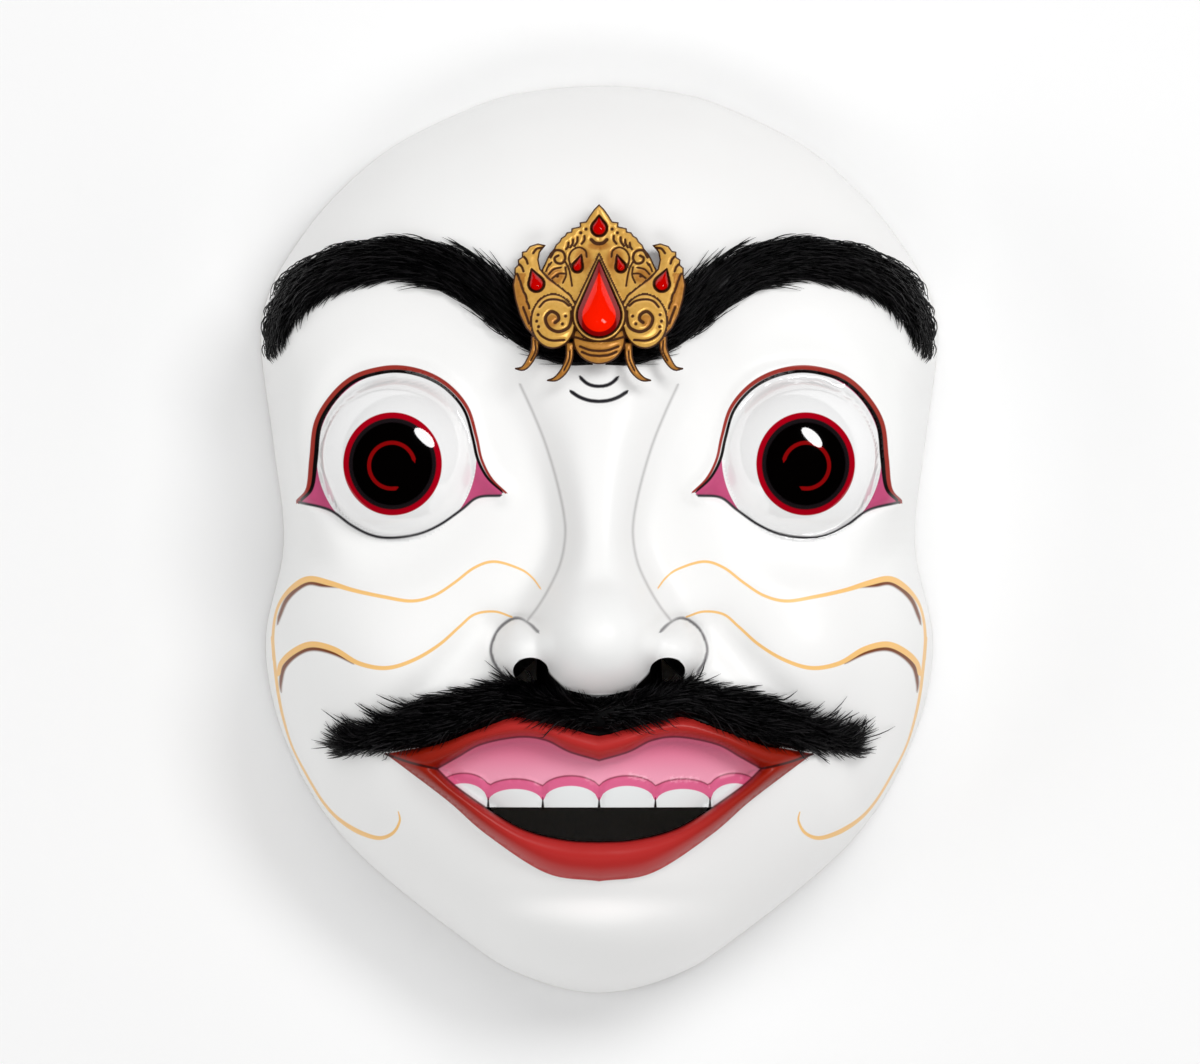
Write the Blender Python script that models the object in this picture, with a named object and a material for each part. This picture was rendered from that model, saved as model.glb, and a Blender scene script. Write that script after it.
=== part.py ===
"""A Balinese jauk dance mask, carved from one block of light wood and hollowed for the face.

It lies on its flat rim with the face up: +Z out of the face, +Y to the crown, +X to the right of
the picture. The origin is in the middle of the rim's plane. Metres.

The carving is laid out on a face grid, GRID_WIDTH steps wide and GRID_HEIGHT steps tall, with
(0, 0) in the middle. One step is a millimetre at the sizes below, and the whole carving keeps its
proportions when those sizes change. Walls, gaps and the thickness of what is fixed to the wood
are real sizes of their own.
"""

import itertools
import math

import bmesh
import bpy
import numpy as np
from mathutils import Vector
from mathutils.bvhtree import BVHTree

# The carved block
MASK_HEIGHT = 0.200
MASK_WIDTH = 0.1494
MASK_DEPTH = 0.086
RIM_WALL = 0.008
FACE_WALL = 0.010
BODY_GAP = 0.0004
GLUE_LINE = 0.0006

# Goat-hair strips glued on as brows and moustache
BROW_THICKNESS = 0.0022
BROW_EDGE = 0.0008
MOUSTACHE_THICKNESS = 0.0042
MOUSTACHE_EDGE = 0.0012

# Gilt brow ornament and its stones
PLATE_THICKNESS = 0.0018
FOOT_THICKNESS = 0.0016
WING_THICKNESS = 0.0026
SCROLL_THICKNESS = 0.0038
SCROLL_EYE_RISE = 0.0008
BASE_THICKNESS = 0.0032
BEZEL_THICKNESS = 0.0044
LAYER_STEP = 0.00007
STONE_SEAT = 0.0010
STONE_CLEARANCE = 0.0003
CENTRE_STONE_RISE = 0.0026
SMALL_STONE_RISE = 0.0009

# The face grid
GRID_WIDTH = 149.4
GRID_HEIGHT = 200.0
STEP_X = MASK_WIDTH / GRID_WIDTH
STEP_Y = MASK_HEIGHT / GRID_HEIGHT

# Right half of the mask's outline, crown to chin, as (across, up)
OUTLINE = [(0, 100), (17.8, 98.3), (29.5, 94.6), (45.8, 86.4), (58.5, 75.5), (67.3, 64.5), (73.2, 53.6),
           (74.7, 42.6), (71.9, 20.7), (69.7, -1.2), (73.7, -23.1), (69.0, -45.0), (55.4, -66.9),
           (29.0, -88.8), (15.3, -96.7), (0, -100)]
# The waist beside the nose fades inwards: how deep it is, and how far it reaches as an angle
WAIST_DEPTH = 3.6
WAIST_ANGLE = 0.30
# The dome: a superellipse from the rim up, boxier than a ball
DOME_RISE = 58.0
DOME_ACROSS_POWER = 3.6
DOME_UP_POWER = 2.8
# Soft hills and hollows of the face, as (rise, across, up, reach across, reach up)
CHEEK = (5.0, 49, -25, 17, 13)
MUZZLE = (6.0, 0, -50, 40, 24)
CHIN = (5.5, 0, -86, 21, 10)
BETWEEN_BROWS = (2.0, 0, 40, 9, 8)
UNDER_LIP = (-2.2, 0, -79, 20, 3.5)
BESIDE_BRIDGE = (-2.0, 24, 26, 6, 14)
SOFT_FORMS = [CHEEK, MUZZLE, CHIN, BETWEEN_BROWS, UNDER_LIP, BESIDE_BRIDGE]
BROW_RIDGE_RISE = 3.2
BROW_RIDGE_WIDTH = 8.5
CHEEK_FOLD = [(25, -19), (37, -32), (53, -45), (57, -58)]
CHEEK_FOLD_DEPTH = 2.6
CHEEK_FOLD_WIDTH = 4.2
# Room inside for the nose, the mouth and the eyes
HOLLOW_FORMS = [(13, 0, -19, 13, 15), (3.5, 0, -52, 34, 22), (2.5, 44, 18, 15, 15)]

# Eyes: round balls in sockets that lean outwards
EYE_AT = (44.3, 18.0)
EYE_LEVEL = 52.0
EYE_LEAN = -0.27
BALL_EDGE_RADIUS = 17.6
BALL_RISE = 12.2
SOCKET_REACH = (19.5, 30.0)
LID_RISE = 2.0
LID_WIDTH = 2.0
# Upper lid from the outer corner over the ball to the inner corner, measured from the eye's centre
UPPER_LID = [(20.6, -10.0), (18.3, -4.9), (17.5, 1.6), (15.7, 8.2), (11.3, 14.3), (5.8, 18.5), (0, 19.3),
             (-7.3, 18.3), (-12.8, 14.3), (-15.7, 8.2), (-17.4, 1.6), (-19.8, -3.8), (-23.3, -7.9)]

# Nose: (up, half width, rise) down the bridge, then the ball as (up, reach across, reach up, rise)
BRIDGE = [(44, 20, 0), (34, 17.0, 5.0), (22, 11.5, 9.5), (4, 7.6, 14.5), (-5, 8.6, 18), (-13, 12.0, 22),
          (-22, 13.0, 25), (-29, 11, 18), (-34, 10, 0)]
NOSE_BALL = (-20.5, 14.2, 13.2, 28.0)
NOSE_WING_AT = (16.0, -23.8)
NOSE_WING_REACH = (6.9, 6.5)
NOSE_WING_RISE = 15.5
NOSTRIL_AT = (14.9, -28.6)
NOSTRIL_REACH = (3.9, 3.0)

# Mouth: right half of the lips' outer edge and of the opening between them
LIP_TOP = [(0, -42.4), (8.0, -40.4), (18.5, -38.5), (27.0, -41.2), (37.0, -44.8), (46.8, -46.8)]
LIP_BOTTOM = [(46.8, -46.8), (41.9, -50.4), (32.8, -57.3), (24.5, -64.5), (11.6, -72.8), (0, -74.6)]
MOUTH_TOP = [(0, -48.1), (6.5, -46.2), (11.6, -43.7), (17.5, -43.0), (25.7, -44.6), (30.9, -47.4),
             (35.5, -50.0)]
MOUTH_BOTTOM = [(35.5, -50.0), (30.9, -54.2), (20.6, -61.2), (14.2, -64.1), (6.5, -65.7), (0, -66.0)]
LIP_ROLL = 4.2
MOUTH_DEPTH = 3.6
TEETH_BOTTOM = -58.4
# Each right-hand tooth as (centre, half width, top of its crown)
TEETH = [(6.15, 6.1, -53.7), (18.3, 5.9, -54.4), (29.6, 5.3, -53.2)]
TOOTH_RISE = 1.2
GUM_SCALLOP = 2.2

# Brow strip and moustache strip: (across, up, half width) from the middle of the face outwards
BROW = [(1.2, 41.0, 3.4), (8.0, 41.6, 4.0), (14.0, 45.2, 4.9), (18.6, 48.9, 5.3), (26.7, 55.6, 5.2),
        (33.0, 58.7, 4.8), (42.0, 60.8, 4.9), (52.0, 60.2, 4.9), (61.0, 57.3, 5.0), (67.5, 52.8, 5.2),
        (71.3, 48.6, 5.2), (73.2, 44.2, 4.2), (74.0, 40.4, 1.8)]
MOUSTACHE = [(0, -38.7, 4.0), (8.0, -36.6, 4.0), (13.5, -35.6, 3.9), (19.0, -34.9, 3.9),
             (27.2, -37.0, 4.5), (37.0, -40.0, 5.1), (46.5, -42.4, 4.5), (52.5, -43.4, 3.4),
             (58.5, -43.9, 1.4)]

# Brow ornament on the same grid, right half of each outline
ARCH = [(0, 73.2), (2.5, 70.3), (3.6, 69.0), (4.9, 67.6), (6.9, 66.2), (8.9, 64.3), (11.0, 61.8),
        (12.4, 59.2), (12.6, 55.0), (10.5, 46.0), (5.0, 43.2), (0, 40.8)]
ARCH_SCALLOPS = 5
ARCH_SCALLOP_SPAN = (59.4, 69.2)
ARCH_SCALLOP_RISE = 0.45
WING = [(11.6, 64.2), (13.4, 64.6), (15.2, 64.0), (16.7, 62.3), (17.5, 60.4), (18.6, 58.2), (18.9, 55.4),
        (18.4, 52.3), (17.4, 48.9), (16.0, 46.0), (13.6, 43.4), (9.0, 43.0), (5.2, 46.0), (4.9, 51.0),
        (6.2, 53.2), (8.4, 55.0), (11.2, 57.1), (12.8, 59.0), (13.2, 61.0), (12.9, 62.6)]
SCROLL_AT = (10.0, 47.5)
SCROLL_REACH = (4.9, 6.0)
SCROLL_EYE_AT = (10.4, 48.3)
SCROLL_EYE_REACH = (1.9, 2.3)
BASE_AT = (0, 43.6)
BASE_REACH = (5.7, 5.5)
OUTER_FOOT = [(13.9, 44.4, 0.95), (14.0, 41.6, 0.9), (15.0, 39.1, 0.85), (16.5, 37.3, 0.6),
              (18.4, 37.2, 0.15)]
INNER_FOOT = [(6.4, 43.0, 0.95), (6.5, 39.6, 0.9), (7.6, 36.8, 0.85), (9.4, 35.0, 0.6),
              (11.4, 34.6, 0.15)]
# Drop-shaped stones: (centre across, centre up, half width, reach to the point, lean in degrees)
CENTRE_STONE = (0, 48.8, 4.6, 11.8, 0)
BEZEL_BORDER = 1.15
TOP_STONE = (0, 67.9, 1.5, 2.5, 0)
ARCH_STONE = (4.75, 59.4, 0.95, 2.5, 18)
WING_STONE = (13.7, 55.7, 1.5, 3.1, -18)

# Fineness of the meshes, and the spacing of the cuts that let the ornament bend
CARVING_SEGMENTS = 256
CARVING_RINGS = 110
HOLLOW_SEGMENTS = 48
HOLLOW_RINGS = 16
SHELL_TRIANGLES = 5200
BROW_MESH = (20, 4)
MOUSTACHE_MESH = (38, 4)
CENTRE_STONE_SEGMENTS = 16
SMALL_STONE_SEGMENTS = 8
BEND_STEP = 0.0072


def smooth_line(points, per_span=8, closed=False):
    """Places along a Catmull-Rom curve through the points."""
    p = np.array(points, float)
    if closed:
        p = np.vstack([p[-1], p, p[:2]])
    else:
        p = np.vstack([2 * p[0] - p[1], p, 2 * p[-1] - p[-2]])
    t = np.linspace(0, 1, per_span, endpoint=False)[:, None]
    spans = [
        0.5 * (2 * b + (c - a) * t + (2 * a - 5 * b + 4 * c - d) * t**2 + (3 * b - a - 3 * c + d) * t**3)
        for a, b, c, d in zip(p, p[1:], p[2:], p[3:])
    ]
    return np.vstack(spans if closed else spans + [p[-2:-1]])


def mirrored(half):
    """The closed outline made of a right half, given top to bottom, and its mirror image."""
    half = np.array(half, float)
    inner = half[np.abs(half[:, 0]) > 1e-6][::-1]
    return np.vstack([half, inner * [-1, 1]])


def ease(low, high, value):
    t = np.clip((value - low) / (high - low), 0, 1)
    return t * t * (3 - 2 * t)


def hill(x, y, rise, centre_x, centre_y, reach_x, reach_y):
    return rise * np.exp(-(((x - centre_x) / reach_x) ** 2) - ((y - centre_y) / reach_y) ** 2)


def cap(x, y, centre_x, centre_y, reach_x, reach_y, rise):
    """The upper half of an ellipsoid, and 0 outside it."""
    inside = 1 - ((x - centre_x) / reach_x) ** 2 - ((y - centre_y) / reach_y) ** 2
    return rise * np.sqrt(np.clip(inside, 0, None))


def nearest_on(x, y, line):
    """Distance to a line, and the share of its length at the nearest place."""
    line = np.asarray(line)[:, :2]
    start, run = line[:-1], np.diff(line, axis=0)
    length = np.hypot(run[:, 0], run[:, 1])
    before = np.concatenate([[0], np.cumsum(length)])
    best = np.full(np.shape(x), np.inf)
    share = np.zeros(np.shape(x))
    for k in range(len(run)):
        dx, dy = x - start[k, 0], y - start[k, 1]
        t = np.clip((dx * run[k, 0] + dy * run[k, 1]) / length[k] ** 2, 0, 1)
        d = np.hypot(dx - t * run[k, 0], dy - t * run[k, 1])
        share = np.where(d < best, (before[k] + t * length[k]) / before[-1], share)
        best = np.minimum(best, d)
    return best, share


def inside_distance(x, y, ring):
    """Distance to a closed outline, positive inside it."""
    d, _ = nearest_on(x, y, np.vstack([ring, ring[:1]]))
    inside = np.zeros(np.shape(x), bool)
    for (ax, ay), (bx, by) in zip(ring, np.roll(ring, -1, axis=0)):
        crosses = (ay > y) != (by > y)
        inside ^= crosses & (x < ax + (y - ay) * (bx - ax) / (by - ay if by != ay else 1))
    return np.where(inside, d, -d)


OUTLINE_RING = smooth_line(mirrored(OUTLINE), closed=True)
OUTLINE_HALF = OUTLINE_RING[OUTLINE_RING[:, 0] >= 0]
OUTLINE_ANGLES = np.arctan2(OUTLINE_HALF[:, 1], OUTLINE_HALF[:, 0])
OUTLINE_ORDER = np.argsort(OUTLINE_ANGLES)
LIP_RING = mirrored(np.vstack([smooth_line(LIP_TOP), smooth_line(LIP_BOTTOM)[1:]]))
MOUTH_RING = mirrored(np.vstack([smooth_line(MOUTH_TOP), smooth_line(MOUTH_BOTTOM)[1:]]))
BROW_LINE = smooth_line(BROW)
MOUSTACHE_LINE = smooth_line(MOUSTACHE)
BRIDGE_LINE = smooth_line(BRIDGE)[::-1]
LID_LINE = smooth_line(UPPER_LID) + EYE_AT


def outline_radius(x, y):
    """How far the outline is from the middle, in the direction of (x, y)."""
    angle = np.arctan2(y, np.abs(x))
    radii = np.hypot(OUTLINE_HALF[:, 0], OUTLINE_HALF[:, 1])
    return np.interp(angle, OUTLINE_ANGLES[OUTLINE_ORDER], radii[OUTLINE_ORDER])


def outline_share(x, y):
    """0 in the middle and 1 on the outline, with the waist fading inwards."""
    edge = outline_radius(x, y)
    reach = np.hypot(x, y)
    angle = np.arctan2(y, np.abs(x))
    filled = WAIST_DEPTH * np.exp(-((angle / WAIST_ANGLE) ** 2)) * (1 - np.clip(reach / edge, 0, 1) ** 4)
    return reach / (edge + filled)


def dome(share, rise):
    """Height of the plain dome at a share of the way from the middle to the outline."""
    return rise * (1 - np.clip(share, 0, 1) ** DOME_ACROSS_POWER) ** (1 / DOME_UP_POWER)


def nose(across, y):
    half_width = np.interp(y, BRIDGE_LINE[:, 0], BRIDGE_LINE[:, 1])
    rise = np.interp(y, BRIDGE_LINE[:, 0], BRIDGE_LINE[:, 2], left=0, right=0)
    bridge = np.clip(rise, 0, None) * np.exp(-((across / half_width) ** 3.2))
    ball = cap(across, y, 0, *NOSE_BALL)
    wing = cap(across, y, *NOSE_WING_AT, *NOSE_WING_REACH, NOSE_WING_RISE)
    return (bridge**6 + ball**6 + wing**6) ** (1 / 6)


def soft_forms(across, y):
    """Cheeks, muzzle, chin, brow ridge and the hollows between them."""
    to_brow, _ = nearest_on(across, y, BROW_LINE)
    to_fold, _ = nearest_on(across, y, CHEEK_FOLD)
    forms = sum(hill(across, y, *form) for form in SOFT_FORMS)
    forms += BROW_RIDGE_RISE * np.exp(-((to_brow / BROW_RIDGE_WIDTH) ** 2))
    return forms - CHEEK_FOLD_DEPTH * np.exp(-((to_fold / CHEEK_FOLD_WIDTH) ** 2))


def lid(across, y):
    d, _ = nearest_on(across, y, LID_LINE)
    return LID_RISE * np.exp(-((d / LID_WIDTH) ** 2))


def eyeball(across, y):
    """Height of the eye's ball, and minus infinity outside it."""
    radius = (BALL_EDGE_RADIUS**2 + BALL_RISE**2) / (2 * BALL_RISE)
    lean = math.hypot(1, EYE_LEAN)
    sunk = radius - BALL_RISE
    middle_x = EYE_AT[0] + EYE_LEAN / lean * sunk
    middle_z = EYE_LEVEL - sunk / lean
    left = radius**2 - (across - middle_x) ** 2 - (y - EYE_AT[1]) ** 2
    return np.where(left > 0, middle_z + np.sqrt(np.clip(left, 0, None)), -np.inf)


def teeth(across, y):
    """Rise of the crowns and of the scalloped gum above them."""
    rise = np.zeros(np.shape(across))
    for centre, half_width, top in TEETH:
        t = np.clip(1 - ((across - centre) / half_width) ** 2, 0, 1)
        crown = TEETH_BOTTOM + 1.2 + (top - TEETH_BOTTOM - 1.2) * np.sqrt(t)
        covered = (np.abs(across - centre) < half_width) & (y < crown)
        rise = np.where(covered, TOOTH_RISE * t**0.3, rise)
        scallop = (np.abs(across - centre) < half_width) & (y >= crown) & (y < crown + GUM_SCALLOP)
        rise = np.where(scallop, TOOTH_RISE * 0.9, rise)
    return rise


def carved(x, y):
    """Height of the carved face above the rim's plane, in grid steps."""
    across = np.abs(x)
    share = outline_share(x, y)
    height = dome(share, DOME_RISE)
    to_eye = np.hypot(across - EYE_AT[0], y - EYE_AT[1])
    socket = (1 - ease(*SOCKET_REACH, to_eye)) * (1 - np.clip(share, 0, 1) ** 20)
    height += socket * (EYE_LEVEL + EYE_LEAN * (across - EYE_AT[0]) - height)
    inner = 1 - np.clip(share, 0, 1) ** 12
    height += inner * (soft_forms(across, y) * (1 - 0.7 * socket) + nose(across, y) + lid(across, y))
    lips = inside_distance(x, y, LIP_RING)
    mouth = inside_distance(x, y, MOUTH_RING)
    roll = np.clip(-mouth / np.maximum(lips - mouth, 1e-6), 0, 1)
    height += np.where((lips > 0) & (mouth <= 0), LIP_ROLL * np.sin(math.pi * roll) ** 0.7, 0)
    height += ease(0, 1.2, mouth) * (teeth(across, y) - MOUTH_DEPTH)
    return np.maximum(height, eyeball(across, y))


def hollowed(x, y, share):
    """Height of the hollow's surface above the rim's plane, in grid steps."""
    across = np.abs(x)
    rise = DOME_RISE - FACE_WALL / STEP_Y
    height = dome(share, rise)
    return height + (1 - share**8) * sum(hill(across, y, *form) for form in HOLLOW_FORMS)


NOSE_TIP = float(carved(np.zeros(200), np.linspace(-30, -10, 200)).max())
STEP_Z = MASK_DEPTH / NOSE_TIP


def face_points(x, y):
    """World places of the carved surface at these grid places."""
    return np.stack([x * STEP_X, y * STEP_Y, carved(x, y) * STEP_Z], axis=-1)


def face_normals(x, y, reach=0.5):
    """World directions out of the carved surface."""
    run_x = face_points(x + reach, y) - face_points(x - reach, y)
    run_y = face_points(x, y + reach) - face_points(x, y - reach)
    out = np.cross(run_x, run_y)
    return out / np.linalg.norm(out, axis=-1, keepdims=True)


def clear_scene():
    for obj in list(bpy.data.objects):
        bpy.data.objects.remove(obj)


def new_collection(name):
    made = bpy.data.collections.new(name)
    bpy.context.scene.collection.children.link(made)
    return made


def material(name, colour, roughness, metallic=0.0):
    made = bpy.data.materials.new(name)
    made.use_nodes = True
    made.diffuse_color = (*colour, 1)
    shader = made.node_tree.nodes["Principled BSDF"]
    shader.inputs["Base Color"].default_value = (*colour, 1)
    shader.inputs["Roughness"].default_value = roughness
    shader.inputs["Metallic"].default_value = metallic
    return made


def object_from(bm, name, finish=None, home=None):
    mesh = bpy.data.meshes.new(name)
    bm.to_mesh(mesh)
    bm.free()
    if finish:
        mesh.materials.append(finish)
    obj = bpy.data.objects.new(name, mesh)
    (home or CUTTERS).objects.link(obj)
    return obj


def helper(obj):
    """Marks a cutter or guide, which isn't part of the mask."""
    obj.hide_render = True
    obj.display_type = "WIRE"
    return obj


def settled(obj, name, finish=None, home=None):
    """A plain mesh object of what the modifiers or the curve give, in place of obj."""
    graph = bpy.context.evaluated_depsgraph_get()
    mesh = bpy.data.meshes.new_from_object(obj.evaluated_get(graph))
    mesh.name = name
    mesh.materials.clear()
    if finish:
        mesh.materials.append(finish)
    made = bpy.data.objects.new(name, mesh)
    made.matrix_world = obj.matrix_world
    (home or CUTTERS).objects.link(made)
    bpy.data.objects.remove(obj)
    bm = bmesh.new()
    bm.from_mesh(mesh)
    bmesh.ops.remove_doubles(bm, verts=bm.verts, dist=1e-6)
    bm.to_mesh(mesh)
    bm.free()
    return made


def combine(obj, other, operation):
    boolean = obj.modifiers.new(operation.lower(), "BOOLEAN")
    boolean.operation = operation
    boolean.solver = "EXACT"
    boolean.object = helper(other)


def half_sphere(bm, segments, rings):
    """Adds the upper half of a unit sphere, and returns its vertices and open edge."""
    made = bmesh.ops.create_uvsphere(bm, u_segments=segments, v_segments=2 * rings, radius=1)["verts"]
    below = [v for v in made if v.co.z < -1e-4]
    bmesh.ops.delete(bm, geom=below, context="VERTS")
    kept = [v for v in made if v.is_valid]
    for v in kept:
        v.co.z = v.co.z if v.co.z > 1e-4 else 0
    edge = {e for v in kept for e in v.link_edges if e.is_boundary}
    return kept, list(edge)


def stretch(verts, radius_of, height_of):
    """Stretches a unit half sphere to an outline, and lifts it to a height over the grid."""
    unit = np.array([v.co for v in verts])
    share = np.minimum(np.hypot(unit[:, 0], unit[:, 1]), 1)
    radius = radius_of(unit[:, 0], unit[:, 1])
    x, y = unit[:, 0] * radius, unit[:, 1] * radius
    z = np.where(unit[:, 2] > 0, height_of(x, y, share), 0)
    for v, place in zip(verts, np.stack([x * STEP_X, y * STEP_Y, z * STEP_Z], axis=-1)):
        v.co = place


def carved_block():
    """The face and its hollow as one closed wall, joined at the flat rim."""
    bm = bmesh.new()
    outside, outer_edge = half_sphere(bm, CARVING_SEGMENTS, CARVING_RINGS)
    inside, inner_edge = half_sphere(bm, HOLLOW_SEGMENTS, HOLLOW_RINGS)
    inner_faces = {f for v in inside for f in v.link_faces}
    bmesh.ops.reverse_faces(bm, faces=list(inner_faces))
    stretch(outside, outline_radius, lambda x, y, share: carved(x, y))
    stretch(inside, lambda x, y: outline_radius(x, y) - RIM_WALL / STEP_X, hollowed)
    bmesh.ops.bridge_loops(bm, edges=outer_edge + inner_edge)
    bmesh.ops.triangulate(bm, faces=bm.faces)
    bmesh.ops.recalc_face_normals(bm, faces=bm.faces)
    return object_from(bm, "carved_block")


def thinned(obj, triangles, name, finish, home):
    """The same shape with fewer triangles, most of them left where it curves most."""
    fewer = obj.modifiers.new("fewer", "DECIMATE")
    fewer.ratio = triangles / len(obj.data.polygons)
    made = settled(obj, name, finish, home)
    for v in made.data.vertices:
        if v.co.z < 2e-4:
            v.co.z = 0
    return made


def tree_of(obj):
    mesh = obj.data
    return BVHTree.FromPolygons([v.co for v in mesh.vertices], [p.vertices for p in mesh.polygons])


def mouth_cutter():
    """The opening below the teeth, as a block right through the wall."""
    lower = smooth_line(MOUTH_BOTTOM)
    below = lower[lower[:, 1] < TEETH_BOTTOM]
    corner = np.interp(-TEETH_BOTTOM, -lower[:, 1], lower[:, 0])
    half = np.vstack([[(0, TEETH_BOTTOM)], [(corner, TEETH_BOTTOM)], below])
    return helper(flat_shape("mouth_cutter", mirrored(half), MASK_DEPTH / 4, MASK_DEPTH))


def nostril_cutter(side):
    bm = bmesh.new()
    bmesh.ops.create_cone(bm, cap_ends=True, segments=12, radius1=1, radius2=1, depth=MASK_DEPTH)
    bmesh.ops.scale(bm, vec=(NOSTRIL_REACH[0] * STEP_X, NOSTRIL_REACH[1] * STEP_Y, 1), verts=bm.verts)
    place = (side * NOSTRIL_AT[0] * STEP_X, NOSTRIL_AT[1] * STEP_Y, MASK_DEPTH)
    bmesh.ops.translate(bm, vec=place, verts=bm.verts)
    return helper(object_from(bm, "nostril_cutter"))


def flat_shape(name, ring, low, high):
    """A flat outline on the grid, as a plate from low to high, in metres."""
    curve = bpy.data.curves.new(name, "CURVE")
    curve.dimensions = "2D"
    curve.fill_mode = "BOTH"
    curve.extrude = (high - low) / 2
    spline = curve.splines.new("POLY")
    spline.points.add(len(ring) - 1)
    for point, (x, y) in zip(spline.points, ring):
        point.co = (x * STEP_X, y * STEP_Y, 0, 1)
    spline.use_cyclic_u = True
    obj = bpy.data.objects.new(name, curve)
    obj.location.z = (low + high) / 2
    CUTTERS.objects.link(obj)
    bpy.context.view_layer.update()
    return settled(obj, name)


def within(x, y, share):
    """The same places, drawn back to a share of the outline where they are past it."""
    limit = share * outline_radius(x, y) / np.maximum(np.hypot(x, y), 1e-6)
    return x * np.minimum(limit, 1), y * np.minimum(limit, 1)


def bulges(wood, x, y):
    """How far the thinned wood stands out of the carved surface, at most, around each place."""
    most = np.zeros(len(x))
    for step_x, step_y in itertools.product((-2, 0, 2), repeat=2):
        near_x, near_y = within(x + step_x, y + step_y, 0.98)
        for k, (place, out) in enumerate(zip(face_points(near_x, near_y), face_normals(near_x, near_y))):
            spot = wood.find_nearest(Vector(place))[0]
            most[k] = max(most[k], (np.array(spot) - place) @ out)
    return most


def strip_pad(name, line, sizes, finish, segments, sides, wood):
    """A glued strip that follows the face along (across, up, half width) from the middle outwards.

    sizes are its thickness along the middle and at the edges.
    sides is (0, 1) for a strip on one side, and (-1, 1) for one that runs across the middle.
    """
    bm = bmesh.new()
    bmesh.ops.create_grid(bm, x_segments=segments[0], y_segments=segments[1], size=0.5)
    raised = bmesh.ops.extrude_face_region(bm, geom=bm.faces[:])["geom"]
    for v in raised:
        if isinstance(v, bmesh.types.BMVert):
            v.co.z = 1
    unit = np.array([v.co for v in bm.verts])
    along = sides[0] + (unit[:, 0] + 0.5) * (sides[1] - sides[0])
    across = 2 * unit[:, 1]
    spots = face_points(line[:, 0], line[:, 1])
    length = np.concatenate([[0], np.cumsum(np.linalg.norm(np.diff(spots, axis=0), axis=1))])
    share = length / length[-1]
    run = np.gradient(line[:, :2], axis=0)
    run /= np.hypot(run[:, 0], run[:, 1])[:, None]
    if sides[0] < 0:
        run[0] = (1, 0)
    x, y, half_width, run_x, run_y = (
        np.interp(np.abs(along), share, column) for column in (*line.T[:3], *run.T)
    )
    x, y = x - across * half_width * run_y, y + across * half_width * run_x
    x, y = within(x, y, 0.985)
    thickness, edge = sizes
    crown = np.clip(1 - across**2, 0, 1) * (1 - 0.7 * ease(0.8, 1, np.abs(along)))
    full = edge + (thickness - edge) * crown
    lift = GLUE_LINE + bulges(wood, x, y) + unit[:, 2] * full
    places = face_points(x, y) + face_normals(x, y) * lift[:, None]
    places[:, 0] *= np.where(along < 0, -1, 1)
    for v, place in zip(bm.verts, places):
        v.co = place
    bmesh.ops.recalc_face_normals(bm, faces=bm.faces)
    return object_from(bm, name, finish, MASK)


def mirror_object(obj, name):
    """A copy on the other side of the face."""
    mesh = obj.data.copy()
    mesh.name = name
    made = bpy.data.objects.new(name, mesh)
    bm = bmesh.new()
    bm.from_mesh(mesh)
    bmesh.ops.scale(bm, vec=(-1, 1, 1), verts=bm.verts)
    bmesh.ops.reverse_faces(bm, faces=bm.faces)
    bm.to_mesh(mesh)
    bm.free()
    MASK.objects.link(made)
    return made


def ellipse(centre, reach, count=16):
    turn = np.linspace(0, 2 * math.pi, count, endpoint=False)
    return np.stack([centre[0] + reach[0] * np.cos(turn), centre[1] + reach[1] * np.sin(turn)], axis=-1)


def drop_radius(angle, half_width, reach):
    """Radius of a drop-shaped outline at an angle from straight up, where its point is."""
    turn = np.abs((angle + math.pi) % (2 * math.pi) - math.pi)
    slope = math.acos(half_width / reach)
    flank = half_width / np.cos(np.clip(slope - turn, 0, None))
    return np.where(turn < slope, flank, half_width)


def drop_ring(stone, border=0.0, side=1, count=13):
    """Outline of a drop-shaped stone, or of its bezel with a border, on the grid."""
    middle_x, middle_y, half_width, reach, lean = stone
    slope = math.acos((half_width + border) / (reach + border))
    flank = np.array([0.0])
    round_part = np.linspace(slope, 2 * math.pi - slope, count)
    angle = np.concatenate([flank, round_part])
    radius = drop_radius(angle, half_width + border, reach + border)
    turned = angle + math.radians(lean)
    x, y = middle_x - radius * np.sin(turned), middle_y + radius * np.cos(turned)
    return np.stack([side * x, y], axis=-1)


def tapered(line):
    """Outline of a limb that follows a line of (across, up, half width)."""
    line = np.array(line, float)
    run = np.gradient(line[:, :2], axis=0)
    run /= np.hypot(run[:, 0], run[:, 1])[:, None]
    side = np.stack([-run[:, 1], run[:, 0]], axis=-1) * line[:, 2:3]
    return np.vstack([line[:, :2] + side, (line[:, :2] - side)[::-1]])


def scalloped(half):
    """The arch's outline, its upper slope cut into scallops."""
    line = smooth_line(half, per_span=3)
    slope = (line[:, 1] > ARCH_SCALLOP_SPAN[0]) & (line[:, 1] < ARCH_SCALLOP_SPAN[1])
    share = np.cumsum(slope) / max(slope.sum(), 1)
    rise = np.where(slope, ARCH_SCALLOP_RISE * np.abs(np.sin(share * ARCH_SCALLOPS * math.pi)), 0)
    return line + np.stack([rise * 0.7, rise * 0.7], axis=-1)


def seat_terms(x, y):
    """Terms of the ornament's back: a gentle curve up the forehead and one across it."""
    middle = (ARCH[0][1] + ARCH[-1][1]) / 2
    up = y / middle - 1
    across = (x / middle) ** 2
    return np.stack([up**0, up, up**2, up**3, across, across * up, across**2], axis=-1)


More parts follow.
